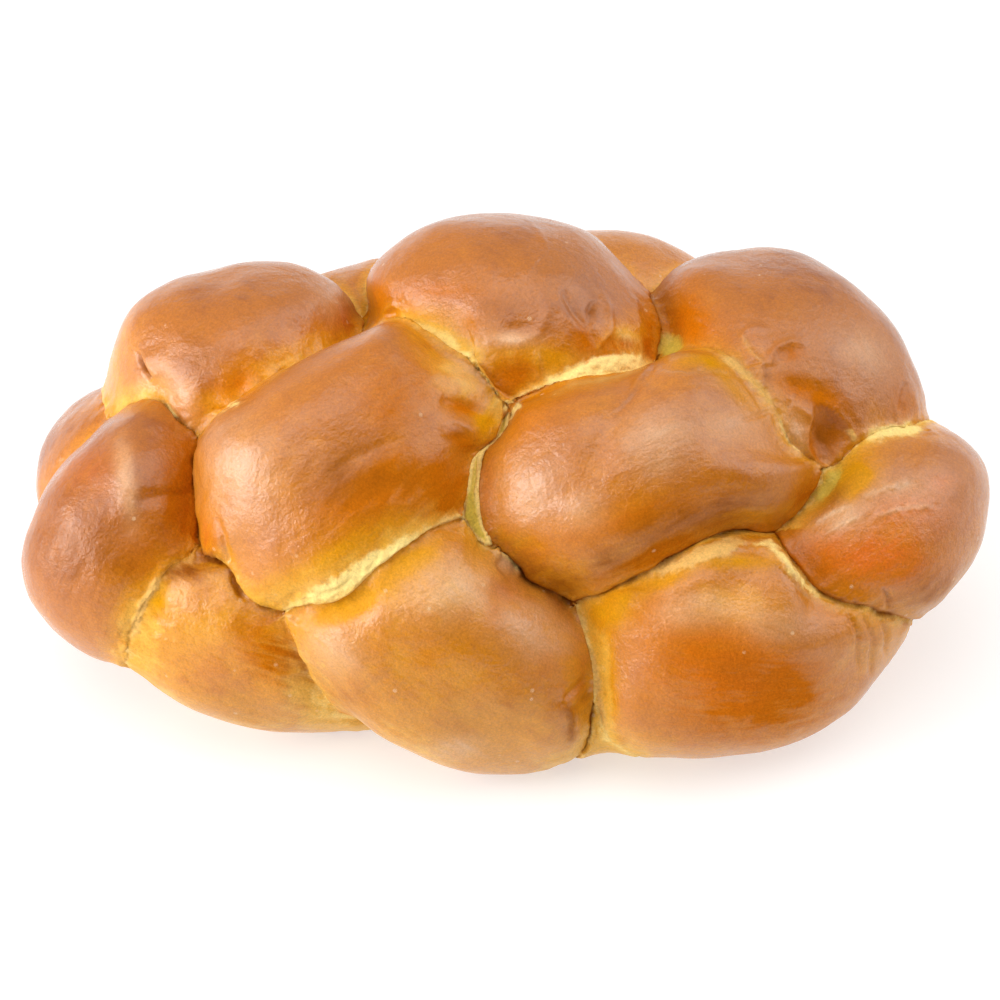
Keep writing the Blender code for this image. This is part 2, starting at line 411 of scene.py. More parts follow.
OUTLINE: tuple[Pixel, ...] = (
    (22, 560), (24, 545), (30, 528), (37, 515), (40, 500), (40, 480), (44, 460), (52, 440), (62, 424),
    (75, 408), (90, 395), (106, 389), (108, 378), (112, 355), (120, 330), (135, 308), (155, 291),
    (180, 278), (205, 271), (240, 263), (265, 262), (290, 264), (310, 269), (325, 276), (335, 269),
    (350, 264), (372, 260), (380, 256), (400, 240), (420, 228), (445, 219), (475, 213), (500, 211),
    (520, 212), (545, 217), (570, 224), (583, 230), (600, 229), (625, 230), (650, 236), (675, 245),
    (697, 257), (720, 252), (745, 249), (770, 248), (800, 253), (830, 267), (855, 284), (880, 308),
    (900, 333), (912, 358), (920, 380), (925, 405), (927, 418), (945, 427), (962, 438), (976, 452),
    (984, 470), (987, 490), (985, 510), (982, 535), (975, 552), (965, 570), (952, 590), (940, 604),
    (922, 614), (916, 622), (905, 640), (890, 660), (868, 690), (845, 712), (820, 728), (790, 742),
    (755, 752), (720, 757), (690, 758), (660, 756), (640, 755), (621, 748), (600, 752), (581, 757),
    (555, 767), (530, 772), (508, 774), (480, 773), (465, 772), (440, 764), (415, 755), (395, 745),
    (375, 733), (362, 724), (330, 728), (300, 730), (275, 729), (250, 726), (225, 720), (205, 713),
    (185, 704), (168, 694), (152, 682), (140, 672), (130, 661), (115, 661), (100, 659), (82, 651),
    (66, 642), (52, 630), (40, 615), (30, 600), (24, 580), (22, 560),
)


class Braid:
    """The loaf's form: all lobes run together, with a slit pressed in wherever two strands meet.

    Ragged lists heights and cells of the noises that make the seams wander, up to ragged reach from them. A
    slit is open by its mean share and varies with a noise of its cell, within its range. All lengths are in
    millimetres.
    """

    rounding = 0.3
    ragged = ((1.0, 6.5), (1.0, 6.5), (0.7, 2.6))
    ragged_shift = 40.0
    ragged_reach = 4.0
    slit_mean = 0.75
    slit_varies = 1.6
    slit_cell = 8.0
    slit_range = (0.15, 1.5)
    shared_way = 0.98
    shared_reach = 2.5
    slope_range = (0.4, 3.0)
    least_apart = 0.05

    def __init__(self, lobes: dict[str, Lobe], seams: tuple[Seam, ...]) -> None:
        """Keeps the lobes, and every pair's seam as tables by owner and neighbour.

        Args:
            lobes: The lobes by name.
            seams: The seams that are seen.
        """
        self.lobes = tuple(lobes.values())
        self.names = tuple(lobes)
        count = len(self.lobes)
        self.noise = Noise(3)
        self.shares = np.random.default_rng(3).uniform(-1.0, 1.0, (count, len(self.ragged)))
        self.depth = np.full((count, count), HIDDEN_SEAM.depth)
        self.reach = np.full((count, count), HIDDEN_SEAM.reach)
        self.fill = np.full((count, count), HIDDEN_SEAM.fill)
        numbers = np.arange(count)
        self.step = HIDDEN_SEAM.step * np.sign(numbers[None, :] - numbers[:, None])
        self.pale = np.full((count, count), HIDDEN_SEAM.pale[1])
        self.pale_reach = np.full((count, count), HIDDEN_SEAM.pale_reach)
        self.amber = np.zeros((count, count))
        self.line = np.full((count, count), HIDDEN_SEAM.line)
        inner = [self.names.index(C1), self.names.index("core")]
        for table in (self.depth, self.line, self.step):
            table[inner] = 0.0
            table[:, inner] = 0.0
        for seam in seams:
            over, under = self.names.index(seam.over), self.names.index(seam.under)
            for table, value in (
                (self.depth, seam.depth),
                (self.reach, seam.reach),
                (self.fill, seam.fill),
                (self.pale_reach, seam.pale_reach),
                (self.amber, seam.amber),
                (self.line, seam.line),
            ):
                table[over, under] = table[under, over] = value
            self.step[over, under], self.step[under, over] = seam.step, -seam.step
            self.pale[over, under], self.pale[under, over] = seam.pale

    def levels(self, points: Array) -> tuple[Array, Array]:
        """Measures every lobe from the points.

        Near a seam each lobe swells and shrinks by its own mix of noises, which makes the line between two of
        them ragged.

        Args:
            points: Points of shape (n, 3).

        Returns:
            The distances of shape (lobes, n) and the outward directions of shape (lobes, n, 3).
        """
        pairs = [lobe.level(points) for lobe in self.lobes]
        away = np.stack([pair[0] for pair in pairs])
        nearest, second = np.partition(away, 1, axis=0)[:2]
        fields = [
            height * self.noise.at(points / cell + self.ragged_shift * number)
            for number, (height, cell) in enumerate(self.ragged)
        ]
        away += self.shares @ np.stack(fields) * np.exp(-(second - nearest) / self.ragged_reach)
        return away, np.stack([pair[1] for pair in pairs])

    def skin(self, points: Array) -> "Reading":
        """Reads the form at the points.

        The nearest lobe owns a point. With g a lobe's distance less the nearest one's, the form's distance is
        the nearest plus depth times e to the minus g over reach, for the lobe where that is most, less
        fill / 4 times (1 - g / fill) squared, summed over the lobes; slits open and close along their length.
        The way towards the form lies between the owner's outward direction and its neighbour's, so that both
        sides of a seam move alike.

        Args:
            points: Points of shape (n, 3).

        Returns:
            What the form says there.
        """
        away, outward = self.levels(points)
        each = np.arange(len(points))
        owner = away.argmin(0)
        nearest = away[owner, each]
        behind = away - nearest
        varying = self.noise.at(points / self.slit_cell + 9.0)
        open_here = np.clip(self.slit_mean + self.slit_varies * varying, *self.slit_range)
        reach, fill = self.reach[owner].T, self.fill[owner].T
        softened = np.sqrt(behind**2 + self.rounding**2) - self.rounding
        depth = self.depth[owner].T
        depth = np.where(depth > 0.0, depth * open_here, depth)
        pressed = depth * np.exp(-softened / reach)
        filled = np.clip(1.0 - behind / fill, 0.0, 1.0)
        pressed[owner, each] = 0.0
        filled[owner, each] = 0.0
        behind[owner, each] = np.inf
        neighbour = behind.argmin(0)
        gap = behind[neighbour, each]
        own, other = outward[owner, each], outward[neighbour, each]
        share = self.shared_way * np.exp(-gap / self.shared_reach)[:, None]
        way = own + share * other
        way /= np.linalg.norm(way, axis=1)[:, None]
        steep = pressed[neighbour, each] / reach[neighbour, each] * gap
        steep /= np.sqrt(gap**2 + self.rounding**2)
        steep -= 0.5 * filled[neighbour, each]
        slope = ((own - steep[:, None] * (other - own)) * way).sum(1)
        deepest = pressed.max(0) + pressed.min(0)
        level = (nearest + deepest - (fill / 4.0 * filled**2).sum(0)) / np.clip(slope, *self.slope_range)
        apart = other - own
        slide = -gap[:, None] * apart / np.maximum((apart**2).sum(1), self.least_apart)[:, None]
        return Reading(level, way, owner, gap, neighbour, slide)


@dataclass
class Reading:
    """What the braid's form says at some points; slide is the way from each to its seam."""

    level: Array
    outward: Array
    owner: Array
    gap: Array
    neighbour: Array
    slide: Array


@dataclass
class Mesh:
    """A closed surface as points and three-sided faces, with its edges worked out once."""

    points: Array
    faces: Array
    edges: Array = field(init=False)

    def __post_init__(self) -> None:
        """Lists each edge once."""
        sides = np.concatenate([self.faces[:, pair] for pair in ([0, 1], [1, 2], [2, 0])])
        self.edges = np.unique(np.sort(sides, 1), axis=0)

    def normals(self) -> Array:
        """Returns each point's outward direction, from its faces' directions weighted by their areas."""
        a, b, c = (self.points[self.faces[:, i]] for i in range(3))
        crossed = np.cross(b - a, c - a)
        total = np.zeros_like(self.points)
        for i, axis in product(range(3), range(3)):
            total[:, axis] += np.bincount(self.faces[:, i], crossed[:, axis], len(self.points))
        return total / np.maximum(np.linalg.norm(total, axis=1), 1e-9)[:, None]

    def averaged(self, values: Array, rounds: int = 1) -> Array:
        """Replaces each point's value by the mean over its neighbours.

        Args:
            values: A value or a row of them per point.
            rounds: How many times over.

        Returns:
            The means, of the same shape.
        """
        count = len(self.points)
        first, second = self.edges.T
        share = np.bincount(first, minlength=count) + np.bincount(second, minlength=count)
        columns = values.reshape(count, -1).astype(float)
        for _ in range(rounds):
            ahead = [np.bincount(first, column[second], count) for column in columns.T]
            back = [np.bincount(second, column[first], count) for column in columns.T]
            columns = np.stack([(one + other) / share for one, other in zip(ahead, back)], 1)
        return columns.reshape(values.shape)

    def to_blender(self, name: str) -> bpy.types.Mesh:
        """Hands the surface over to Blender.

        Args:
            name: What the mesh is called.

        Returns:
            Blender's mesh.
        """
        mesh = bpy.data.meshes.new(name)
        mesh.vertices.add(len(self.points))
        mesh.vertices.foreach_set("co", self.points.astype(np.float32).ravel())
        mesh.loops.add(self.faces.size)
        mesh.loops.foreach_set("vertex_index", self.faces.astype(np.int32).ravel())
        mesh.polygons.add(len(self.faces))
        mesh.polygons.foreach_set("loop_start", np.arange(0, self.faces.size, 3, dtype=np.int32))
        mesh.update(calc_edges=True)
        return mesh

    def modified(self, kind: str, settings: dict, weights: Array | None = None) -> "Mesh":
        """Runs one of Blender's modifiers over the surface.

        Args:
            kind: The modifier's type.
            settings: Its properties.
            weights: For each point a weight from 0 to 1, which the modifier reads if given.

        Returns:
            The modified surface.
        """
        source = self.to_blender(kind.lower())
        holder = bpy.data.objects.new(kind.lower(), source)
        bpy.context.scene.collection.objects.link(holder)
        modifier = holder.modifiers.new(kind.lower(), kind)
        for name, value in settings.items():
            setattr(modifier, name, value)
        if weights is not None:
            group = holder.vertex_groups.new(name="weights")
            modifier.vertex_group = group.name
            steps = np.round(weights * 20).astype(int)
            for step in np.unique(steps):
                group.add(np.nonzero(steps == step)[0].tolist(), step / 20, "REPLACE")
        made = holder.evaluated_get(bpy.context.evaluated_depsgraph_get())
        mesh = made.to_mesh()
        mesh.calc_loop_triangles()
        points = np.empty(len(mesh.vertices) * 3, np.float32)
        mesh.vertices.foreach_get("co", points)
        faces = np.empty(len(mesh.loop_triangles) * 3, np.int32)
        mesh.loop_triangles.foreach_get("vertices", faces)
        made.to_mesh_clear()
        bpy.data.objects.remove(holder)
        bpy.data.meshes.remove(source)
        return Mesh(points.reshape(-1, 3).astype(float), faces.reshape(-1, 3))


@dataclass
class OnPath:
    """Where points lie by a path: the nearest place, how far, on which side, and how far along from 0 to 1.

    The side is 1 on the path's right hand in the picture and -1 on its left.
    """

    spot: Array
    apart: Array
    side: Array
    along: Array


def by_path(points: Array, path: tuple[Pixel, ...]) -> OnPath:
    """Finds the nearest place on a path for each of the points.

    Args:
        points: Pixels of shape (n, 2).
        path: The path's corners.

    Returns:
        Where each point lies by the path.
    """
    corners = np.array(path, float)
    count = len(points)
    found = OnPath(np.zeros_like(points), np.full(count, np.inf), np.zeros(count), np.zeros(count))
    lengths = np.linalg.norm(np.diff(corners, axis=0), axis=1)
    passed = np.concatenate([[0.0], np.cumsum(lengths)])
    for start, end, length, before in zip(corners[:-1], corners[1:], lengths, passed[:-1]):
        way = (end - start) / length
        offset = points - start
        reach = np.clip(offset @ way, 0.0, length)
        spot = start + reach[:, None] * way
        apart = np.linalg.norm(points - spot, axis=1)
        nearer = apart < found.apart
        found.spot[nearer] = spot[nearer]
        found.apart[nearer] = apart[nearer]
        found.side[nearer] = np.sign(way[0] * offset[:, 1] - way[1] * offset[:, 0])[nearer]
        found.along[nearer] = ((before + reach) / passed[-1])[nearer]
    return found


class Warp:
    """Moves the form sideways in the picture, so that its seams and outline fall on the photograph's.

    Where the lobes meet in the picture is found by drawing them nearest last. Each such mark is pulled to its
    line in the photograph, and what lies between follows as the mean of the pulls round it, weighted by a
    bell. Cells and steps of the picture, the widths of the passes and the farthest pull are in pixels.
    """

    cell = 2
    step = 10
    passes = (42.0, 24.0, 14.0, 9.0)
    farthest = 26.0
    held = 0.2
    close_end = 8.0
    many_corners = 40
    drawing_grid = (480, 300)
    loaf_middle = (0.0, 6.0, 50.0)
    loaf_half = (140.0, 90.0, 60.0)
    free_height = (1.0, 12.0)
    turned_away = (-0.5, -0.05)

    def __init__(self, braid: Braid, view: Viewpoint, seams: tuple[Seam, ...]) -> None:
        """Finds the marks and works out the shifts on a coarse grid of the picture.

        Args:
            braid: The form.
            view: The photograph's camera.
            seams: The seams that are seen.
        """
        self.view = view
        self.names = braid.names
        self.lines: dict[frozenset[str], list[tuple[Pixel, ...]]] = {}
        for seam in seams:
            if seam.path:
                self.lines.setdefault(self.pair(seam.over, seam.under), []).append(seam.path)
        across = np.arange(0, FRAME_PIXELS + self.step, self.step, float)
        self.shifts = np.zeros((len(across), len(across), 2))
        nodes = np.stack(np.meshgrid(across, across), -1).reshape(-1, 2)
        marks = self.marks(self.owners(braid))
        for width in self.passes:
            places, pulls = self.pulls(marks)
            weights = np.exp(-((nodes[:, None, :] - places[None, :, :]) ** 2).sum(-1) / (2 * width**2))
            shift = weights @ pulls / (weights.sum(1) + self.held)[:, None]
            self.shifts += shift.reshape(self.shifts.shape)
        _, left = self.pulls(marks)
        log.info("seams lie %.1f pixels from their lines, at most %.1f", *self.spread(left))

    @staticmethod
    def spread(pulls: Array) -> tuple[float, float]:
        """Returns the mean and the greatest length of the pulls."""
        lengths = np.linalg.norm(pulls, axis=1)
        return float(lengths.mean()), float(lengths.max())

    def pair(self, first: str, second: str) -> frozenset[str]:
        """Returns the key of a pair of lobes."""
        return frozenset((TAIL_OF.get(first, first), TAIL_OF.get(second, second)))

    def owners(self, braid: Braid) -> Array:
        """Draws which lobe each cell of the picture shows.

        Args:
            braid: The form.

        Returns:
            A lobe's number per cell, or -1 for none.
        """
        places, depths, owners = [], [], []
        ahead, _ = self.view.axes()
        for number, lobe in enumerate(braid.lobes):
            points = lobe.grid(*self.drawing_grid).reshape(-1, 3)
            points = points[points[:, 2] >= 0.0]
            places.append(self.view.pixels(points))
            depths.append(points @ ahead)
            owners.append(np.full(len(points), number))
        size = FRAME_PIXELS // self.cell
        column, row = np.clip(np.concatenate(places) // self.cell, 0, size - 1).astype(int).T
        order = np.argsort(-np.concatenate(depths), kind="stable")
        drawn = np.full(size * size, -1)
        drawn[(row * size + column)[order]] = np.concatenate(owners)[order]
        return drawn.reshape(size, size)

    def marks(self, drawn: Array) -> list[tuple[Array, list[tuple[Pixel, ...]]]]:
        """Lists for each pair of lobes the places where they meet in the picture.

        Args:
            drawn: A lobe's number per cell.

        Returns:
            Each pair's places, and the lines that they belong on.
        """
        meeting: dict[frozenset[str], list[Array]] = {}
        for down, right in ((0, 1), (1, 0)):
            first = drawn[: drawn.shape[0] - down, : drawn.shape[1] - right]
            second = drawn[down:, right:]
            row, column = np.nonzero(first != second)
            place = np.stack([column + 0.5 + right / 2, row + 0.5 + down / 2], 1) * self.cell
            keys = np.sort(np.stack([first[row, column], second[row, column]], 1), 1)
            for low, high in np.unique(keys, axis=0):
                here = place[(keys == (low, high)).all(1)]
                key = frozenset(["outside"]) if low < 0 else self.pair(self.names[low], self.names[high])
                meeting.setdefault(key, []).append(here)
        self.lines[frozenset(["outside"])] = [OUTLINE]
        return [(np.concatenate(meeting[key]), lines) for key, lines in self.lines.items() if key in meeting]

    def pulls(self, marks: list[tuple[Array, list[tuple[Pixel, ...]]]]) -> tuple[Array, Array]:
        """Finds the marks that have a line close by.

        Args:
            marks: Each pair's places and lines.

        Returns:
            The places, and how far each still is from its line.
        """
        places, pulls = [], []
        for here, lines in marks:
            now = here + self.shift(here)
            options = [by_path(now, line) for line in lines]
            best = np.stack([option.apart for option in options]).argmin(0)
            each = np.arange(len(here))
            spot = np.stack([option.spot for option in options])[best, each]
            along = np.stack([option.along for option in options])[best, each]
            apart = np.linalg.norm(spot - now, axis=1)
            ended = (along <= 0.0) | (along >= 1.0)
            past_end = ended & (apart > self.close_end) & (len(lines[0]) < self.many_corners)
            used = (apart < self.farthest) & ~past_end
            places.append(here[used])
            pulls.append((spot - now)[used])
        return np.concatenate(places), np.concatenate(pulls)

    def shift(self, pixels: Array) -> Array:
        """Reads the shifts by straight mixing between the grid's nodes.

        Args:
            pixels: Pixels of shape (n, 2).

        Returns:
            The shift at each of them.
        """
        spot = np.clip(pixels / self.step, 0.0, self.shifts.shape[0] - 1.001)
        cell = np.floor(spot).astype(int)
        part = spot - cell
        total = np.zeros_like(pixels, dtype=float)
        for right, down in product((0, 1), repeat=2):
            weight = np.abs(1 - right - part[:, 0]) * np.abs(1 - down - part[:, 1])
            total += weight[:, None] * self.shifts[cell[:, 1] + down, cell[:, 0] + right]
        return total

    def move(self, points: Array) -> Array:
        """Moves points of the layout; the far side and the tray's plane stay where they are.

        Args:
            points: Points of shape (n, 3).

        Returns:
            The moved points.
        """
        ahead, upward = self.view.axes()
        facing = points - np.array(self.loaf_middle)
        facing /= np.array(self.loaf_half) ** 2
        toward = -(facing @ ahead) / np.linalg.norm(facing, axis=1)
        depth = self.view.distance + (points - np.array(self.view.target)) @ ahead
        scale = smooth_step(toward, *self.turned_away) * depth / self.view.focal_pixels
        shift = self.shift(self.view.pixels(points)) * scale[:, None]
        free = smooth_step(points[:, 2], *self.free_height)[:, None]
        rise = free * upward + (1.0 - free) * np.array([0.0, 1.0 / upward[1], 0.0])
        return points + shift[:, :1] * np.array([1.0, 0.0, 0.0]) - shift[:, 1:] * rise


@dataclass(frozen=True)
class Fold:
    """A crease or ridge along a path on one lobe, in millimetres.

    Depth is pressed in along the path over the width. Lip is raised beside it, on the path's right hand, and
    ledge is how much higher that whole side stands, fading out over 5.
    """

    lobe: str
    path: tuple[Pixel, ...]
    width: float
    depth: float
    lip: float = 0.0
    ledge: float = 0.0


@dataclass(frozen=True)
class Dent:
    """An oval hollow in one lobe, or with a depth below zero a bump, turned by its angle in the picture."""

    lobe: str
    at: Pixel
    radii: tuple[float, float]
    depth: float
    angle: float = 0.0


class Tone(Enum):
    """The ways in which a patch of crust differs from what is round it."""

    AMBER = "amber"
    GOLD = "gold"
    ROSY = "rosy"
    # This tone is partly browner crust and partly painted shade in folds, slits and crease ends and on lower
    # flanks.
    BROWN = "brown"
    # This tone is a painted highlight: a paler, pinker colour laid where the crust shines.
    SHEEN = "sheen"
    CRUMB = "crumb"
    GREEN = "green"
    PALE = "pale"
    YOUNG = "young"


AMBER, GOLD, ROSY, BROWN, SHEEN, CRUMB, GREEN, PALE, YOUNG = Tone


@dataclass(frozen=True)
class Patch:
    """An oval patch of another tone on one lobe, its radii in pixels, turned by its angle in the picture."""

    lobe: str
    at: Pixel
    radii: tuple[float, float]
    tone: Tone
    amount: float = 1.0
    angle: float = 0.0


@dataclass(frozen=True)
class Strip:
    """A band of another tone along a path, on the lobes named; its width is in millimetres."""

    lobes: tuple[str, ...]
    path: tuple[Pixel, ...]
    width: float
    tone: Tone
    amount: float = 1.0


def per_lobe(kind: type, rows: dict[str, tuple[tuple, ...]]) -> tuple:
    """Returns each lobe's folds, dents or patches, made from the rows that stand under its name."""
    return tuple(kind(lobe, *row) for lobe, own in rows.items() for row in own)


FOLDS = per_lobe(Fold, {
    T1: (
        (((140, 353), (145, 366), (153, 382)), 0.6, 2.0, 0.0, -1.1),
        (((158, 350), (172, 375), (184, 398), (194, 420)), 3.4, -0.8),
        (((212, 410), (221, 411), (229, 407)), 0.7, 0.9, 0.3),
        (((290, 317), (312, 329), (338, 341)), 0.8, -0.3),
        (((328, 288), (343, 303), (352, 324)), 1.4, 0.6),
    ),
    T2: (
        (((382, 319), (387, 311), (394, 306), (401, 310), (406, 319), (409, 329)), 0.8, -0.8),
        (((387, 321), (393, 315), (399, 323)), 1.2, 1.3),
        (((484, 341), (500, 343), (520, 344), (540, 336)), 2.2, -0.6),
        (((494, 372), (514, 376), (534, 370)), 3.0, 1.0),
        (((500, 327), (518, 330), (536, 324)), 1.6, 0.4),
        (((537, 350), (539, 366), (542, 384)), 0.7, -0.5, 0.0, 0.3),
        (((524, 216), (540, 234), (547, 249), (535, 262), (525, 279)), 0.8, -0.3),
        (((552, 303), (545, 320), (537, 340)), 1.4, -0.4),
        (((562, 292), (569, 305), (577, 318), (588, 331)), 1.2, 1.0, 0.4),
        (((590, 326), (589, 312), (594, 302)), 1.0, 0.9),
        (((600, 297), (608, 308), (611, 324), (609, 338)), 1.1, -0.7),
        (((597, 352), (602, 342), (610, 335)), 0.8, -0.5),
        (((606, 345), (618, 343), (634, 350)), 1.6, 0.6),
        (((632, 300), (640, 325), (641, 352)), 1.4, -0.5, 0.0, -0.3),
        (((548, 383), (562, 377), (576, 371), (590, 361), (606, 357), (640, 357)), 0.9, 0.5, 0.0, 0.9),
    ),
    T3: (
        (((741, 331), (742, 341), (750, 354), (763, 367)), 0.9, -0.6, 0.0, 0.3),
        (((743, 331), (753, 328), (768, 331)), 0.8, -0.3),
        (((742, 367), (752, 365), (762, 363)), 0.6, 0.5, 0.4),
        (((762, 364), (763, 375), (760, 388)), 0.7, 0.3, 0.0, 1.0),
        (((770, 366), (770, 355), (779, 346), (791, 342), (804, 346)), 1.1, -0.6),
        (((812, 404), (812, 418), (808, 433), (807, 447), (814, 460), (826, 469)), 0.9, -0.7, 0.0, 2.6),
        (((822, 404), (834, 412), (845, 426), (852, 440)), 1.1, -0.6, 0.0, -1.2),
        (((792, 402), (803, 413), (812, 420)), 1.2, -0.7),
        (((782, 388), (800, 386), (820, 393), (836, 406)), 2.2, 0.9),
        (((904, 383), (901, 396), (898, 413)), 0.8, 0.8),
        (((912, 390), (914, 405), (915, 420)), 1.0, -0.5),
        (((700, 344), (715, 349), (730, 357)), 0.8, 0.8),
        (((724, 357), (732, 364), (736, 375)), 0.7, 0.7),
        (((745, 373), (752, 382), (754, 392)), 0.7, 0.7),
        (((760, 392), (766, 400), (772, 412)), 0.7, 0.7),
    ),
    M1: (
        (((219, 516), (222, 530), (228, 548), (233, 562)), 0.9, 0.9, 0.0, -0.3),
        (((333, 474), (352, 459), (375, 449), (408, 438)), 1.4, 0.4, -0.2),
        (((345, 515), (380, 505), (430, 505)), 1.6, -0.35),
        (((342, 500), (380, 488), (430, 478)), 4.0, 0.9),
        (((440, 401), (462, 404), (488, 415)), 1.5, 1.5, -0.6),
        (((440, 428), (455, 424), (468, 431), (478, 446)), 1.2, -0.6, 0.9, -0.6),
        (((430, 372), (458, 382), (486, 394)), 2.6, -1.2),
        (((478, 364), (486, 374), (494, 386)), 0.9, -0.6),
        (((482, 432), (492, 420), (500, 407)), 1.8, 0.5),
        (((320, 592), (333, 590), (345, 584), (352, 577)), 0.7, 0.7, -0.2),
        (((360, 573), (372, 566), (380, 556)), 0.7, 0.6),
    ),
    M2: (
        (((655, 368), (643, 383), (630, 400), (616, 413)), 0.7, 0.5, 0.35),
        (((640, 388), (622, 408), (606, 430), (600, 450), (604, 474)), 4.5, 1.3),
        (((652, 372), (680, 371), (712, 371), (742, 379)), 0.8, 0.6, 0.0, 0.5),
        (((664, 362), (690, 358), (716, 362)), 1.4, -0.5),
        (((752, 386), (768, 408), (777, 428), (788, 446)), 0.8, 0.6),
        (((742, 420), (756, 417), (770, 411)), 0.7, 0.4),
        (((625, 500), (680, 488), (750, 470)), 4.0, -0.5),
        (((722, 366), (736, 380), (748, 396), (758, 412)), 0.9, -0.5, 0.0, 0.5),
    ),
    LEFT_END: (
        (((136, 503), (150, 497), (170, 494), (193, 495)), 1.0, 1.1, -0.6),
        (((140, 445), (131, 480), (124, 525)), 4.5, -1.5),
    ),
    RIGHT_END: (
        (((881, 587), (887, 597), (886, 609)), 0.8, 1.1, 0.4),
    ),
    B1: (
        (((233, 566), (238, 582), (246, 598)), 1.3, 1.2),
        (((272, 676), (297, 672), (322, 667)), 0.8, -0.4),
        (((150, 602), (160, 616), (172, 626)), 0.9, 0.5),
        (((143, 618), (158, 632), (176, 640)), 1.0, 0.4),
    ),
    B2: (
        (((380, 566), (380, 590), (386, 630)), 3.5, -0.4),
        (((300, 616), (322, 634), (350, 652), (372, 684)), 6.0, -0.9),
        (((493, 553), (507, 555), (520, 560), (522, 574)), 1.3, -1.7),
        (((496, 560), (506, 570), (516, 580)), 1.2, 0.9, 0.0, -0.5),
        (((592, 668), (582, 682), (570, 694), (560, 706)), 0.9, 1.3, -0.4),
        (((592, 688), (582, 701), (572, 712)), 0.9, 1.1, -0.3),
    ),
    B3: (
        (((622, 606), (610, 615), (603, 626), (597, 641)), 0.8, -0.6, 0.0, -0.4),
        (((733, 548), (752, 549), (768, 556), (786, 573), (804, 592), (822, 605)), 0.9, 0.5, 0.0, -0.9),
        (((640, 600), (680, 586), (720, 575)), 2.5, -0.6),
        (((846, 606), (858, 634), (858, 668)), 0.7, 0.9, 0.3),
        (((862, 612), (874, 640), (868, 676)), 0.7, 0.8, 0.3),
        (((882, 617), (888, 634), (884, 656)), 0.7, 1.0, 0.3),
    ),
    C1: (
        (((477, 452), (474, 476), (476, 500), (485, 526), (494, 546)), 1.5, -0.9),
        (((462, 500), (468, 518), (476, 535), (484, 546)), 0.8, 1.0),
    ),
})
DENTS = per_lobe(Dent, {
    T1: (
        ((216, 392), (9, 9), 0.6), ((243, 379), (10, 16), 0.8, 20),
    ),
    T2: (
        ((446, 340), (34, 12), 0.4, 22), ((645, 330), (12, 30), 0.8),
    ),
    T3: (
        ((788, 354), (11, 7), 0.8, -15), ((829, 436), (15, 22), 3.2, -18),
        ((795, 434), (10, 16), -0.5, -10), ((683, 325), (20, 26), 0.8), ((668, 341), (9, 17), 2.2),
    ),
    M1: (
        ((464, 437), (9, 6), 0.8, 30),
    ),
    M2: (
        ((648, 452), (34, 26), -0.9), ((545, 482), (20, 20), -0.3), ((585, 512), (22, 18), -0.7),
        ((498, 490), (26, 62), 1.2, 10),
    ),
    B2: (
        ((506, 590), (14, 10), 0.8), ((345, 606), (38, 12), 1.1, -18),
    ),
    B3: (
        ((690, 610), (34, 18), -0.7), ((765, 625), (34, 22), -0.7), ((728, 598), (14, 16), 0.5),
    ),
    LEFT_END: (
        ((150, 486), (36, 46), -2.2),
    ),
    RIGHT_END: (
        ((824, 488), (24, 9), 1.4, -48),
    ),
})
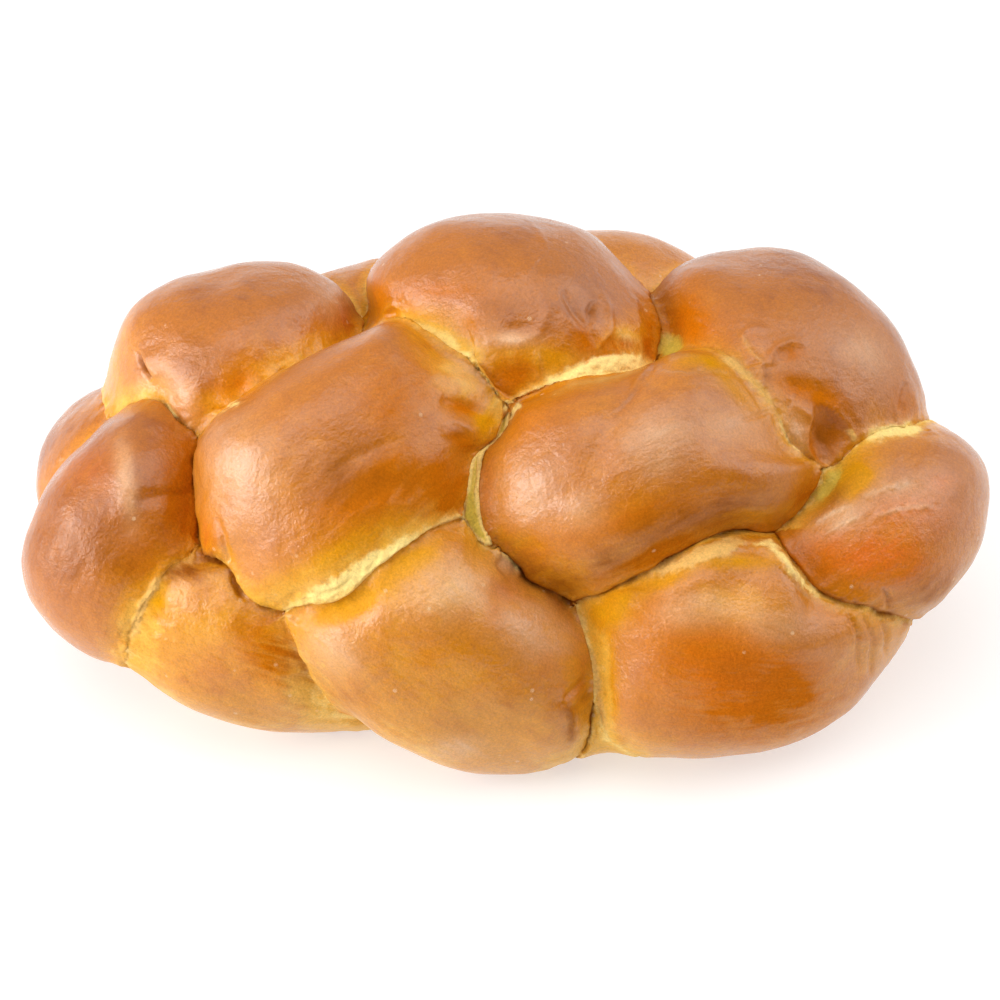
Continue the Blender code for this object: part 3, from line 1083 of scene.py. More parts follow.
# Patches of the painted highlight tone are painted highlights where the crust shines; patches of the tone for
# browner crust and shade add painted shade in hollows, notches and on lower flanks, along with browner crust.
PATCHES = per_lobe(Patch, {
    T1: (
        ((128, 399), (30, 15), YOUNG, 0.35, -25), ((300, 352), (50, 14), YOUNG, 0.35, -28),
        ((235, 388), (26, 15), AMBER, 0.75, -25), ((345, 318), (10, 24), AMBER, 0.7, -20),
        ((198, 360), (24, 28), BROWN, 0.55, -20), ((335, 300), (18, 20), SHEEN, 0.5),
        ((120, 350), (18, 44), YOUNG, 0.4, 15), ((210, 405), (26, 14), GOLD, 0.5, -25),
        ((182, 408), (11, 24), ROSY, 0.45, -36), ((180, 396), (11, 26), SHEEN, 0.5, -34),
    ),
    T2: (
        ((436, 318), (46, 12), GOLD, 0.35, 12), ((436, 341), (42, 18), YOUNG, 1.3, 22),
        ((467, 325), (14, 13), AMBER, 0.6), ((500, 308), (26, 14), BROWN, 0.3),
        ((514, 374), (24, 20), AMBER, 0.9), ((512, 341), (26, 7), SHEEN, 0.6),
        ((430, 292), (42, 9), AMBER, 0.5), ((524, 356), (48, 17), YOUNG, 0.6),
        ((628, 342), (30, 20), YOUNG, 0.9), ((556, 366), (18, 14), GOLD, 0.6),
        ((618, 346), (26, 10), AMBER, 0.8), ((584, 340), (12, 14), AMBER, 0.6),
        ((650, 335), (7, 32), AMBER, 0.6), ((592, 312), (5, 11), BROWN, 0.6),
        ((378, 300), (12, 22), AMBER, 0.4),
    ),
    T3: (
        ((688, 322), (24, 28), AMBER, 0.9), ((664, 302), (10, 18), BROWN, 0.6),
        ((666, 346), (11, 13), GREEN, 1.1, -8), ((788, 354), (12, 7), AMBER, 0.7),
        ((808, 392), (32, 12), AMBER, 0.9, 22), ((828, 437), (15, 22), BROWN, 0.45, -18),
        ((828, 437), (18, 26), AMBER, 0.8, -18), ((812, 448), (6, 16), AMBER, 0.9, -18),
        ((822, 446), (8, 16), BROWN, 0.5, -18), ((794, 432), (11, 20), SHEEN, 0.45, -10),
        ((766, 378), (5, 12), BROWN, 0.5), ((900, 405), (12, 16), AMBER, 0.4),
        ((862, 352), (30, 20), SHEEN, 0.35, 30), ((742, 376), (34, 9), AMBER, 0.6, 48),
    ),
    M1: (
        ((384, 487), (60, 28), AMBER, 1.1, -14), ((390, 490), (46, 20), BROWN, 0.35, -14),
        ((350, 460), (38, 22), BROWN, 0.55, -30), ((328, 496), (28, 13), BROWN, 0.3),
        ((396, 396), (34, 44), AMBER, 0.6, 20), ((225, 440), (18, 16), BROWN, 0.3),
        ((338, 472), (36, 18), BROWN, 0.35, -20), ((318, 568), (96, 12), YOUNG, 0.5, -26),
        ((446, 492), (18, 26), AMBER, 0.9), ((462, 440), (14, 9), AMBER, 0.9, 20),
        ((458, 432), (8, 4), BROWN, 0.5, 20), ((211, 536), (9, 22), AMBER, 0.9),
        ((238, 468), (44, 52), SHEEN, 0.35, -10), ((466, 408), (18, 8), AMBER, 0.9, 14),
        ((497, 410), (10, 30), YOUNG, 0.9, 32), ((458, 388), (38, 24), YOUNG, 0.45, 20),
        ((436, 362), (46, 13), YOUNG, 0.3, 33), ((462, 376), (20, 9), SHEEN, 0.4, 20),
        ((484, 424), (12, 12), GOLD, 0.9), ((497, 412), (9, 26), GOLD, 0.6, 32),
        ((330, 560), (90, 14), GOLD, 0.5, -26),
    ),
    C1: (
        ((468, 512), (6, 18), BROWN, 0.35, -10),
    ),
    M2: (
        ((486, 485), (6, 50), AMBER, 0.5), ((648, 516), (95, 18), AMBER, 0.8, -15),
        ((700, 514), (100, 18), BROWN, 0.6, -17), ((655, 552), (60, 9), AMBER, 0.9, -26),
        ((522, 566), (20, 11), BROWN, 0.8), ((565, 580), (26, 9), BROWN, 0.6, 12),
        ((700, 362), (45, 7), GOLD, 0.6, 4), ((805, 490), (16, 26), AMBER, 0.6, 40),
        ((530, 415), (30, 18), AMBER, 0.35, -40), ((520, 490), (34, 36), SHEEN, 0.4, 20),
        ((546, 452), (34, 14), BROWN, 0.2, -30), ((584, 512), (24, 20), SHEEN, 0.35),
        ((606, 562), (34, 12), BROWN, 0.6, -20), ((656, 442), (34, 32), SHEEN, 0.5),
        ((726, 425), (24, 16), SHEEN, 0.25), ((732, 386), (34, 9), GOLD, 0.5, 48),
    ),
    LEFT_END: (
        ((182, 500), (18, 46), AMBER, 1.0), ((182, 490), (16, 44), BROWN, 0.35),
        ((136, 552), (20, 28), AMBER, 0.7), ((80, 550), (58, 34), BROWN, 0.5, 6),
        ((128, 548), (24, 22), BROWN, 0.35), ((132, 612), (18, 36), YOUNG, 0.4, 20),
        ((96, 622), (28, 26), BROWN, 0.15), ((90, 466), (34, 24), ROSY, 0.25),
        ((128, 485), (10, 40), SHEEN, 0.6, -8),
    ),
    RIGHT_END: (
        ((852, 480), (24, 18), GOLD, 1.5, -38), ((856, 476), (18, 12), AMBER, 0.4, -38),
        ((824, 484), (26, 7), GREEN, 0.8, -48), ((830, 500), (30, 8), BROWN, 0.5, -44),
        ((872, 558), (56, 24), ROSY, 1.0, 5), ((880, 540), (44, 40), YOUNG, 0.25),
        ((905, 512), (42, 24), ROSY, 0.5), ((822, 560), (22, 22), AMBER, 0.7, 30),
        ((940, 484), (14, 10), ROSY, 0.45), ((934, 588), (36, 26), BROWN, 0.45, -30),
        ((905, 488), (40, 16), SHEEN, 0.3), ((840, 518), (36, 14), SHEEN, 0.45, -20),
    ),
    B1: (
        ((276, 650), (30, 30), AMBER, 1.0), ((235, 704), (50, 16), BROWN, 0.2, 20),
        ((322, 702), (40, 20), YOUNG, 0.6, 38), ((160, 606), (14, 10), GOLD, 0.7, 40),
        ((190, 570), (42, 11), BROWN, 0.8, -8), ((162, 590), (12, 16), GOLD, 0.5, 30),
        ((196, 628), (38, 24), YOUNG, 0.35), ((300, 660), (16, 40), BROWN, 0.5, -15),
        ((150, 632), (14, 30), YOUNG, 0.4),
    ),
    B2: (
        ((345, 607), (44, 13), GOLD, 1.4, -24), ((410, 562), (36, 14), GOLD, 1.2, -30),
        ((336, 648), (30, 24), SHEEN, 0.5, 30), ((450, 582), (62, 34), YOUNG, 0.4),
        ((540, 628), (46, 30), SHEEN, 0.45, 20), ((440, 606), (60, 24), SHEEN, 0.3),
        ((455, 580), (50, 26), SHEEN, 0.35), ((345, 690), (46, 26), BROWN, 0.35, 45),
        ((490, 712), (90, 36), BROWN, 0.2, -8), ((440, 672), (80, 34), GOLD, 0.25, 20),
        ((504, 588), (22, 16), AMBER, 0.8), ((494, 612), (9, 12), AMBER, 0.6),
        ((428, 656), (16, 22), AMBER, 0.5), ((516, 690), (26, 20), AMBER, 0.4),
        ((548, 664), (14, 14), AMBER, 0.3), ((582, 660), (7, 30), AMBER, 0.4),
        ((512, 560), (13, 10), SHEEN, 0.9), ((456, 748), (30, 12), SHEEN, 0.6),
    ),
    B3: (
        ((612, 606), (28, 22), GOLD, 1.1, -45), ((660, 580), (36, 11), GOLD, 0.8, -25),
        ((636, 590), (36, 14), BROWN, 0.3, -25), ((728, 662), (72, 38), AMBER, 1.0, 18),
        ((742, 668), (40, 20), BROWN, 0.3, 18), ((790, 692), (34, 22), AMBER, 0.6, -20),
        ((735, 560), (50, 9), GOLD, 0.8), ((692, 608), (44, 18), SHEEN, 0.55, -5),
        ((732, 604), (62, 26), YOUNG, 0.5), ((640, 606), (30, 19), AMBER, 0.9, -20),
        ((736, 676), (66, 36), ROSY, 0.5, 10), ((736, 714), (80, 28), AMBER, 0.6),
        ((606, 690), (9, 60), YOUNG, 0.6), ((772, 624), (40, 18), SHEEN, 0.4, 10),
    ),
})
# Strips of the painted highlight tone paint white streaks of reflection on the right end; strips of the tone
# for browner crust and shade paint shade into slits, folds and the ends of seams.
STRIPS = tuple(Strip(*row) for row in (
    ((M1,), ((296, 600), (325, 590), (350, 578), (375, 560), (400, 546), (425, 533)), 2.6, PALE),
    ((M1,), ((305, 597), (330, 587), (350, 574)), 1.6, CRUMB, 0.3),
    ((M1,), ((320, 592), (333, 590), (345, 584), (352, 577)), 0.35, BROWN, 0.6),
    ((M1,), ((360, 573), (372, 566), (380, 556)), 0.35, BROWN, 0.5),
    ((T2,), ((538, 391), (564, 381), (584, 371), (606, 364), (640, 362), (653, 362)), 2.6, PALE, 1.2),
    ((T2,), ((410, 332), (430, 345), (455, 354), (477, 358)), 1.2, PALE, 0.9),
    ((B3,), ((646, 573), (680, 561), (705, 552), (730, 543), (752, 539)), 2.6, CRUMB, 1.0),
    ((B3,), ((742, 543), (768, 544), (786, 563), (806, 586), (828, 602)), 1.6, PALE, 0.6),
    ((T3, M2), ((712, 354), (734, 364), (750, 379), (764, 395), (776, 412)), 1.7, CRUMB, 0.75),
    ((C1,), ((477, 452), (474, 476), (476, 500), (485, 526), (494, 546)), 1.1, PALE, 0.3),
    ((C1,), ((462, 500), (468, 518), (476, 535), (484, 546)), 0.9, BROWN, 0.5),
    ((RIGHT_END,), ((800, 498), (810, 487), (822, 477)), 0.8, PALE, 0.6),
    ((RIGHT_END,), ((812, 522), (830, 512), (852, 504)), 0.7, SHEEN, 0.5),
    ((RIGHT_END,), ((824, 534), (842, 523), (860, 515)), 0.6, SHEEN, 0.4),
    ((RIGHT_END,), ((858, 498), (884, 488), (915, 482)), 1.0, SHEEN, 0.4),
    ((RIGHT_END,), ((872, 518), (900, 508), (934, 506)), 0.8, SHEEN, 0.4),
    ((M2,), ((655, 371), (690, 371), (715, 371), (742, 379)), 0.6, PALE, 0.15),
    ((T3, M2), ((776, 410), (781, 430), (789, 446), (802, 457)), 0.6, PALE, 0.5),
    ((T3,), ((741, 335), (749, 352), (763, 366)), 0.7, PALE, 0.35),
    ((T3,), ((845, 428), (851, 436), (852, 444)), 0.9, CRUMB, 0.7),
    ((T3, RIGHT_END), ((860, 441), (875, 434), (900, 430), (925, 430)), 1.9, PALE, 1.0),
    ((B3,), ((588, 640), (594, 664), (597, 690), (602, 715), (612, 738)), 1.3, CRUMB, 0.6),
    ((LEFT_END, B1), ((166, 571), (156, 585), (146, 600), (138, 620), (131, 645)), 1.3, CRUMB, 0.9),
    ((T1,), ((166, 402), (172, 411), (181, 421)), 0.5, PALE, 0.8),
    ((M1,), ((214, 417), (228, 408), (244, 402)), 0.5, PALE, 0.55),
    ((M1,), ((479, 366), (488, 378), (498, 391)), 0.9, PALE, 0.8),
    ((M2,), ((506, 424), (513, 411), (522, 403)), 0.8, PALE, 0.9),
    ((B1,), ((233, 564), (238, 582), (247, 598)), 1.3, BROWN, 0.8),
    ((B2,), ((495, 551), (506, 556), (516, 562), (521, 574)), 0.9, PALE, 0.7),
    ((T1,), ((140, 354), (145, 366), (152, 380)), 0.5, BROWN, 1.0),
    ((T1,), ((174, 414), (186, 425), (198, 434)), 1.0, BROWN, 0.6),
    ((M1, B1), ((198, 553), (212, 556), (228, 561)), 1.3, BROWN, 0.9),
    ((B2,), ((566, 700), (572, 720), (570, 745)), 1.6, BROWN, 0.6),
))


class Skin:
    """The loaf's crust as one closed mesh, finest where the strands meet on the side that is seen.

    Sizes are in millimetres. Points no higher than the tray's skin stay on the tray, and in one round a point
    is drawn onto the form by at most the longest draw and slides onto a seam by less than the longest slide.
    The keep values are how far a face resists being merged.
    """

    voxel = 0.62
    most_faces = 192_000
    settle_rounds = 6
    relax_rounds = 10
    snap_rounds = 3
    lobe_grid = (96, 60)
    tray_skin = 0.25
    longest_draw = 1.2
    longest_slide = 0.8
    evening = 0.4
    seen_rounds = 6
    seen_range = (-0.45, 0.1)
    seam_reach = 3.5
    fine_width = 3.0
    fine_pixels = 9.0
    keep_least = 0.18
    keep_seen = 0.20
    keep_seam = 0.22
    keep_seen_seam = 0.45
    keep_fine = 0.6
    keep_under = 0.05
    under_height = 0.3

    def __init__(self, braid: Braid, view: Viewpoint) -> None:
        """Keeps the form and the viewpoint that pixels are read from."""
        self.braid = braid
        self.view = view

    def fused_shell(self) -> Mesh:
        """Lays every lobe out as a closed grid, flat on the tray, and fuses them into one shell."""
        points, faces, start = [], [], 0
        around, rings = self.lobe_grid
        ring = np.arange(around)
        after = np.roll(ring, -1)
        for lobe in self.braid.lobes:
            grid = lobe.grid(around, rings).reshape(-1, 3)
            points.append(np.concatenate([grid, [grid[:around].mean(0)], [grid[-around:].mean(0)]]))
            rows = np.arange(rings - 1)[:, None] * around + start
            last = (rings - 1) * around + start
            bottom = np.full(around, len(grid) + start)
            above = rows + around
            faces.append(np.stack([rows + ring, rows + after, above + after], -1).reshape(-1, 3))
            faces.append(np.stack([rows + ring, above + after, above + ring], -1).reshape(-1, 3))
            faces.append(np.stack([bottom, after + start, ring + start], 1))
            faces.append(np.stack([bottom + 1, last + ring, last + after], 1))
            start += len(grid) + 2
        corners = np.concatenate(points)
        corners[:, 2] = np.maximum(corners[:, 2], 0.0)
        lobes = Mesh(corners, np.concatenate(faces))
        return lobes.modified("REMESH", {"mode": "VOXEL", "voxel_size": self.voxel})

    def thinned(self, shell: Mesh, warp: Warp) -> Mesh:
        """Merges faces, fewest by the seams and folds that the photograph shows and most under the loaf.

        Args:
            shell: The fused shell.
            warp: What carries it to the picture.

        Returns:
            The surface with the most faces that it may have.
        """
        reading = self.braid.skin(shell.points)
        ahead, _ = self.view.axes()
        away = shell.averaged(shell.normals(), self.seen_rounds) @ ahead
        seen = smooth_step(-away, *self.seen_range)
        seam = np.exp(-((reading.gap / self.seam_reach) ** 2))
        pixels = self.view.pixels(warp.move(shell.points))
        fine = [feature.path for feature in FOLDS + STRIPS if feature.width < self.fine_width]
        near = [np.exp(-((by_path(pixels, path).apart / self.fine_pixels) ** 2)) for path in fine]
        busy = self.keep_fine * np.max(near, axis=0) * seen
        by_seam = seam * (self.keep_seam + self.keep_seen_seam * seen)
        keep = self.keep_least + self.keep_seen * seen + np.maximum(by_seam, busy)
        keep[shell.points[:, 2] < self.under_height] = self.keep_under
        share = self.most_faces / len(shell.faces)
        settings = {"ratio": share, "vertex_group_factor": 1.0}
        return shell.modified("DECIMATE", settings, 1.0 - keep)

    def drawn(self, mesh: Mesh) -> Reading:
        """Draws the points onto the braid's pressed form.

        Args:
            mesh: The mesh, whose points are moved.

        Returns:
            The form as read before the move.
        """
        free = np.nonzero(mesh.points[:, 2] > self.tray_skin)[0]
        reading = self.braid.skin(mesh.points)
        draw = np.clip(reading.level, -self.longest_draw, self.longest_draw)
        mesh.points[free] -= (draw[:, None] * reading.outward)[free]
        mesh.points[:, 2] = np.maximum(mesh.points[:, 2], 0.0)
        return reading

    def snap(self, mesh: Mesh, reading: Reading) -> Array:
        """Slides points onto the seams, so that no edge crosses one.

        Of each edge whose ends belong to different lobes, the end that is closer to the seam moves.

        Args:
            mesh: The mesh, whose points are moved.
            reading: The form as read at its points.

        Returns:
            The points that now lie on a seam.
        """
        first, second = mesh.edges[reading.owner[mesh.edges[:, 0]] != reading.owner[mesh.edges[:, 1]]].T
        far = np.linalg.norm(reading.slide, axis=1)
        chosen = np.unique(np.where(far[first] < far[second], first, second))
        chosen = chosen[(far[chosen] < self.longest_slide) & (mesh.points[chosen, 2] > self.tray_skin)]
        mesh.points[chosen] += reading.slide[chosen]
        return chosen

    def settle(self, mesh: Mesh) -> Reading:
        """Draws the points onto the form and the seams, and evens their spacing.

        Args:
            mesh: The mesh, whose points are moved.

        Returns:
            The form at its points.
        """
        for step in range(self.settle_rounds + self.relax_rounds):
            reading = self.drawn(mesh)
            if step < self.settle_rounds:
                continue
            normals = mesh.normals()
            pull = mesh.averaged(mesh.points) - mesh.points
            pull -= (pull * normals).sum(1)[:, None] * normals
            pull[mesh.points[:, 2] <= self.tray_skin, 2] = 0.0
            mesh.points += self.evening * pull
            self.snap(mesh, reading)
        for _ in range(self.snap_rounds):
            reading = self.drawn(mesh)
            chosen = self.snap(mesh, reading)
        reading = self.drawn(mesh)
        reading.gap[chosen] = 0.0
        log.info("%d points lie on seams", len(chosen))
        return reading


def oval_weight(pixels: Array, at: Pixel, radii: tuple[float, float], angle: float) -> Array:
    """Weighs pixels by a soft oval.

    Args:
        pixels: Pixels of shape (n, 2).
        at: The oval's middle.
        radii: Its half sizes.
        angle: Its turn in degrees.

    Returns:
        Weights, 1 in the middle and fading as a bell.
    """
    turn = radians(angle)
    offset = pixels - np.array(at)
    across = offset[:, 0] * cos(turn) + offset[:, 1] * sin(turn)
    down = -offset[:, 0] * sin(turn) + offset[:, 1] * cos(turn)
    return np.exp(-((across / radii[0]) ** 2) - (down / radii[1]) ** 2)


@dataclass
class Surface:
    """The settled skin with what relief and paint are worked out from, for its points or its faces' corners.

    Index is the mesh point that each entry stands at. Owner and neighbour are its nearest two lobes, gap is
    how much nearer the first is, front is 1 on the photographed side and 0 behind, and strand is the place in
    the owner's own axes.
    """

    mesh: Mesh
    index: Array
    owner: Array
    neighbour: Array
    gap: Array
    normals: Array
    pixels: Array
    front: Array
    strand: Array

    def on(self, *lobes: str) -> Array:
        """Returns 1 where the lobes named show themselves to the photograph; a tail counts with its lobe."""
        wanted = STRANDS[[NAMES.index(name) for name in lobes]]
        return np.isin(STRANDS[self.owner], wanted) * self.front

    def corners(self) -> "Surface":
        """Returns the same for the corners of the faces, where each face has one owner.

        A face belongs to the lobe of its corner farthest from a seam. A corner on the seam of another lobe is
        read from its own face's side, so that a colour can end sharply there.
        """
        faces = self.mesh.faces
        farthest = self.gap[faces].argmax(1)
        owner = np.repeat(self.owner[faces[np.arange(len(faces)), farthest]], 3)
        index = faces.ravel()
        mine = self.owner[index] == owner
        neighbour = np.where(mine, self.neighbour[index], self.owner[index])
        rest = (self.normals, self.pixels, self.front, self.strand)
        return Surface(self.mesh, index, owner, neighbour, self.gap[index], *(value[index] for value in rest))


class Relief:
    """The shapes finer than a lobe: swells, wrinkles along the strand, puckers by the seams and folds.

    Each swell has a height, a cell and a shift of its noise. Heights, cells and reaches are in millimetres,
    and a fold's lip stands beside it in parts of the fold's width.
    """

    swell_layers = ((1.3, 24.0, 5.0), (0.6, 11.0, 9.0))
    ledge_width = 0.7
    ledge_reach = 4.0
    wrinkle_cell = (14.0, 2.8, 7.0)
    wrinkle_reach = 6.0
    wrinkle_least = 0.10
    wrinkle_by_seam = 0.50
    tail_calm = 0.2
    pucker_cell = 6.0
    pucker_reach = 3.0
    pucker_height = 0.7
    tear_spread = 1.2
    tear_cell = 2.4
    tear_least = 0.15
    tear_height = 0.8
    fold_clear = 0.8
    fold_reach = 5.0
    lip_at = 1.6
    crease_at = 6.0
    crease_band = 8.0
    crease_cell = 16.0
    crease_width = 0.07
    crease_lip = 0.8
    crease_depth = 1.5

    def __init__(self, braid: Braid, seed: int, mm_per_pixel: float) -> None:
        """Seeds the noise."""
        self.braid = braid
        self.noise = Noise(seed)
        self.scale = mm_per_pixel

    def swells(self, surface: Surface) -> Array:
        """Returns slow unevenness, so that no lobe stays a true ellipsoid."""
        points = surface.mesh.points
        return sum(height * self.noise.at(points / cell + shift) for height, cell, shift in self.swell_layers)

    def ledges(self, surface: Surface) -> Array:
        """Raises the strand that lies over its neighbour by their seam, and sinks the one under it.

        Args:
            surface: The skin's points.

        Returns:
            Heights in millimetres.
        """
        step = self.braid.step[surface.owner, surface.neighbour]
        near = surface.gap / self.ledge_width
        return step * near / np.sqrt(1.0 + near**2) * np.exp(-surface.gap / self.ledge_reach)

    def wrinkles(self, surface: Surface) -> Array:
        """Draws faint lines along the strand, stronger towards its seams and calm by the tail.

        Args:
            surface: The skin's points.

        Returns:
            Heights in millimetres.
        """
        stretched = surface.strand / np.array(self.wrinkle_cell)
        near_seam = np.exp(-surface.gap / self.wrinkle_reach)
        tail = NAMES.index(TAIL)
        calm = np.where((surface.owner == tail) | (surface.neighbour == tail), self.tail_calm, 1.0)
        height = self.wrinkle_least + self.wrinkle_by_seam * near_seam * calm
        return self.noise.layered(stretched, 3) * height

    def puckers(self, surface: Surface) -> Array:
        """Raises the small lumps of dough pinched along each seam.

        Args:
            surface: The skin's points.

        Returns:
            Heights in millimetres.
        """
        near_seam = np.exp(-surface.gap / self.pucker_reach)
        lumps = self.noise.layered(surface.mesh.points / self.pucker_cell, 2)
        return near_seam * self.pucker_height * lumps

    def tears(self, surface: Surface) -> Array:
        """Roughens the skin with the crumbly unevenness of the torn and pale strips.

        Args:
            surface: The skin's points.

        Returns:
            Heights in millimetres.
        """
        height = np.zeros(len(surface.pixels))
        for strip in STRIPS:
            found = by_path(surface.pixels, strip.path)
            across = found.apart * self.scale / strip.width / self.tear_spread
            height += surface.on(*strip.lobes) * np.exp(-(across**2))
        rough = self.noise.layered(surface.mesh.points / self.tear_cell, 2)
        return np.clip(height, 0.0, 1.0) * (self.tear_least + self.tear_height * rough)

    def folds(self, surface: Surface) -> Array:
        """Presses in the folds and dents that the photograph shows.

        Args:
            surface: The skin's points.

        Returns:
            Heights in millimetres.
        """
        height = np.zeros(len(surface.pixels))
        clear = 1.0 - np.exp(-surface.gap / self.fold_clear)
        for fold in FOLDS:
            found = by_path(surface.pixels, fold.path)
            across = found.apart * self.scale / fold.width
            ends = np.clip(4.0 * found.along * (1.0 - found.along), 0.0, 1.0) ** 0.5
            signed = found.side * across
            beside = np.exp(-((signed - self.lip_at) ** 2) / 1.2)
            shape = fold.lip * beside - fold.depth * np.exp(-(across**2))
            near = np.exp(-found.apart * self.scale / self.fold_reach)
            shape += 0.5 * fold.ledge * np.tanh(2.0 * signed) * near
            height += surface.on(fold.lobe) * clear * ends * shape
        for dent in DENTS:
            weight = oval_weight(surface.pixels, dent.at, dent.radii, dent.angle)
            height -= surface.on(dent.lobe) * clear * dent.depth * weight
        return height

    def creases(self, surface: Surface) -> Array:
        """Presses creases into the sides that the photograph hides, where a slow noise crosses zero.

        Args:
            surface: The skin's points.

        Returns:
            Heights in millimetres.
        """
        points = surface.mesh.points
        off_band = (surface.gap - self.crease_at) / self.crease_band
        hidden = (1.0 - surface.front) * np.exp(-(off_band**2))
        here = np.clip(3.0 * self.noise.at(points / 12.0 + 47.0), 0.0, 1.0)
        line = self.noise.layered(points / self.crease_cell + 31.0, 2) / self.crease_width
        lip = self.crease_lip * np.exp(-((line - self.lip_at) ** 2))
        return hidden * here * (lip - self.crease_depth * np.exp(-(line**2)))

    def heights(self, surface: Surface) -> Array:
        """Returns the whole relief, in millimetres outwards."""
        parts = (self.swells, self.ledges, self.wrinkles, self.puckers, self.tears, self.folds, self.creases)
        return sum(part(surface) for part in parts)


class Paint:
    """How baked, pale, stained or torn the crust is from place to place.

    Reaches and cells are in millimetres, pale edge is the power of a fall-off, and the rest are shares. The
    line mask is a painted contact shadow by the seams, and some patches and strips paint highlights and
    shade.
    """

    crown_least = 0.46
    crown_upward = 0.34
    crown_uneven = 0.14
    golden = 0.35
    golden_reach = 8.0
    pale_edge = 1.4
    amber_reach = 6.0
    deep_green = 0.8
    deep_reach = 1.5
    seam_reach = 2.0
    line_reach = 0.8
    line_covered = 0.85
    hidden_cell = (34.0, 13.0, 13.0)

    def __init__(self, braid: Braid, seed: int, mm_per_pixel: float) -> None:
        """Seeds the noise."""
        self.braid = braid
        self.noise = Noise(seed)
        self.scale = mm_per_pixel

    def masks(self, surface: Surface) -> dict[str, Array]:
        """Works out every mask.

        Args:
            surface: The faces' corners.

        Returns:
            For each name a value per corner from 0 to 1. Baking grows away from the seams and upwards.
        """
        sides = (surface.owner, surface.neighbour)
        gap = surface.gap * (1.0 + 0.6 * self.uneven(surface, 9.0, 2))
        beside = self.braid.pale[sides] * np.exp(-((gap / self.braid.pale_reach[sides]) ** self.pale_edge))
        masks = {tone.value: np.zeros(len(surface.index)) for tone in Tone}
        self.add_patches(surface, masks)
        self.add_strips(surface, masks)
        masks["amber"] += self.braid.amber[sides] * np.exp(-gap / self.amber_reach) * (1.0 - beside)
        deep = np.isin(surface.owner, [NAMES.index(C1), NAMES.index("core")])
        masks["green"] += self.deep_green * deep * (1.0 - np.exp(-((surface.gap / self.deep_reach) ** 2)))
        self.add_hidden(surface, gap, masks)
        young = np.clip(masks.pop("young"), 0.0, 1.0)
        golden = self.golden * np.exp(-gap / self.golden_reach)
        masks["bake"] = self.crown(surface) * (1.0 - golden) * (1.0 - beside) * (1.0 - young)
        masks["seam"] = np.exp(-surface.gap / self.seam_reach)
        # The line mask paints contact shadow along the seams, with the dark of the crack, faded where pale
        # dough or crumb covers it.
        broken = np.clip(0.8 + 1.6 * self.uneven(surface, 7.0, 2), 0.1, 1.5)
        covered = np.clip(masks["pale"] + masks["crumb"], 0.0, 1.0)
        near = np.exp(-surface.gap / self.line_reach)
        masks["line"] = self.braid.line[sides] * near * broken * (1.0 - self.line_covered * covered)
        return {name: np.clip(mask, 0.0, 1.0) for name, mask in masks.items()}

    def crown(self, surface: Surface) -> Array:
        """Works out how baked the crust would be away from every seam and patch.

        Args:
            surface: The faces' corners.

        Returns:
            Shares from 0 to 1.
        """
        tones = np.array([lobe.tone for lobe in LOBES.values()])[surface.owner]
        upward = self.upward(surface)
        uneven = self.crown_uneven * self.uneven(surface, 22.0, 3)
        return self.crown_least + self.crown_upward * upward + tones + uneven

    def add_patches(self, surface: Surface, masks: dict[str, Array]) -> None:
        """Adds the oval patches to the masks of their tones.

        Args:
            surface: The faces' corners.
            masks: The masks by name.
        """
        ragged = 1.0 + 0.5 * self.uneven(surface, 6.0, 2)
        for patch in PATCHES:
            weight = oval_weight(surface.pixels, patch.at, patch.radii, patch.angle) * ragged
            masks[patch.tone.value] += surface.on(patch.lobe) * patch.amount * weight

    def add_strips(self, surface: Surface, masks: dict[str, Array]) -> None:
        """Adds the bands to the masks of their tones.

        Args:
            surface: The faces' corners.
            masks: The masks by name.
        """
        ragged = 1.0 + 0.7 * self.uneven(surface, 3.0, 2)
        for strip in STRIPS:
            found = by_path(surface.pixels, strip.path)
            ends = np.clip(6.0 * found.along * (1.0 - found.along), 0.0, 1.0)
            band = np.exp(-((found.apart * self.scale / (strip.width * ragged)) ** 2))
            masks[strip.tone.value] += surface.on(*strip.lobes) * strip.amount * band * ends

    def add_hidden(self, surface: Surface, gap: Array, masks: dict[str, Array]) -> None:
        """Adds pale tears and browner stretches on the sides that the photograph hides.

        Args:
            surface: The faces' corners.
            gap: How far from a seam.
            masks: The masks by name.
        """
        hidden = 1.0 - surface.front
        torn = np.clip(2.5 * self.uneven(surface, 17.0, 2), 0.0, 1.0)
        under = self.braid.step[surface.owner, surface.neighbour] < 0.0
        masks["pale"] += hidden * torn * under * np.exp(-((gap / 3.0) ** 2))
        masks["young"] += hidden * torn * np.where(under, 0.8, 0.3) * np.exp(-gap / 9.0)
        along = self.noise.layered(surface.strand / np.array(self.hidden_cell) + 5.0, 3)
        masks["amber"] += hidden * np.clip(0.35 + 1.5 * along, 0.0, 0.8) * np.exp(-gap / 30.0)
        masks["brown"] += hidden * np.clip(-1.2 * along - 0.1, 0.0, 0.35) * self.upward(surface)

    @staticmethod
    def upward(surface: Surface) -> Array:
        """Returns 0 where the crust faces down and 1 where it faces up."""
        return smooth_step(surface.normals[:, 2], -0.5, 0.75)

    def uneven(self, surface: Surface, cell: float, layers: int) -> Array:
        """Returns layered noise of a given cell over the surface."""
        return self.noise.layered(surface.mesh.points / cell + cell, layers)[surface.index]


@dataclass(frozen=True)
class Glow:
    """A soft bright or dark round in the studio's surroundings: its middle, its reach and what it adds.

    Azimuth 0 is the camera's side and grows to the right. The glow is full inside the first angle from its
    middle and gone beyond the second; all angles are in degrees.
    """

    azimuth: float
    elevation: float
    full: float
    gone: float
    adds: float

    def way(self) -> Vector:
        """Returns the direction of its middle."""
        turn, rise = radians(self.azimuth), radians(self.elevation)
        return Vector((sin(turn) * cos(rise), -cos(turn) * cos(rise), sin(rise)))


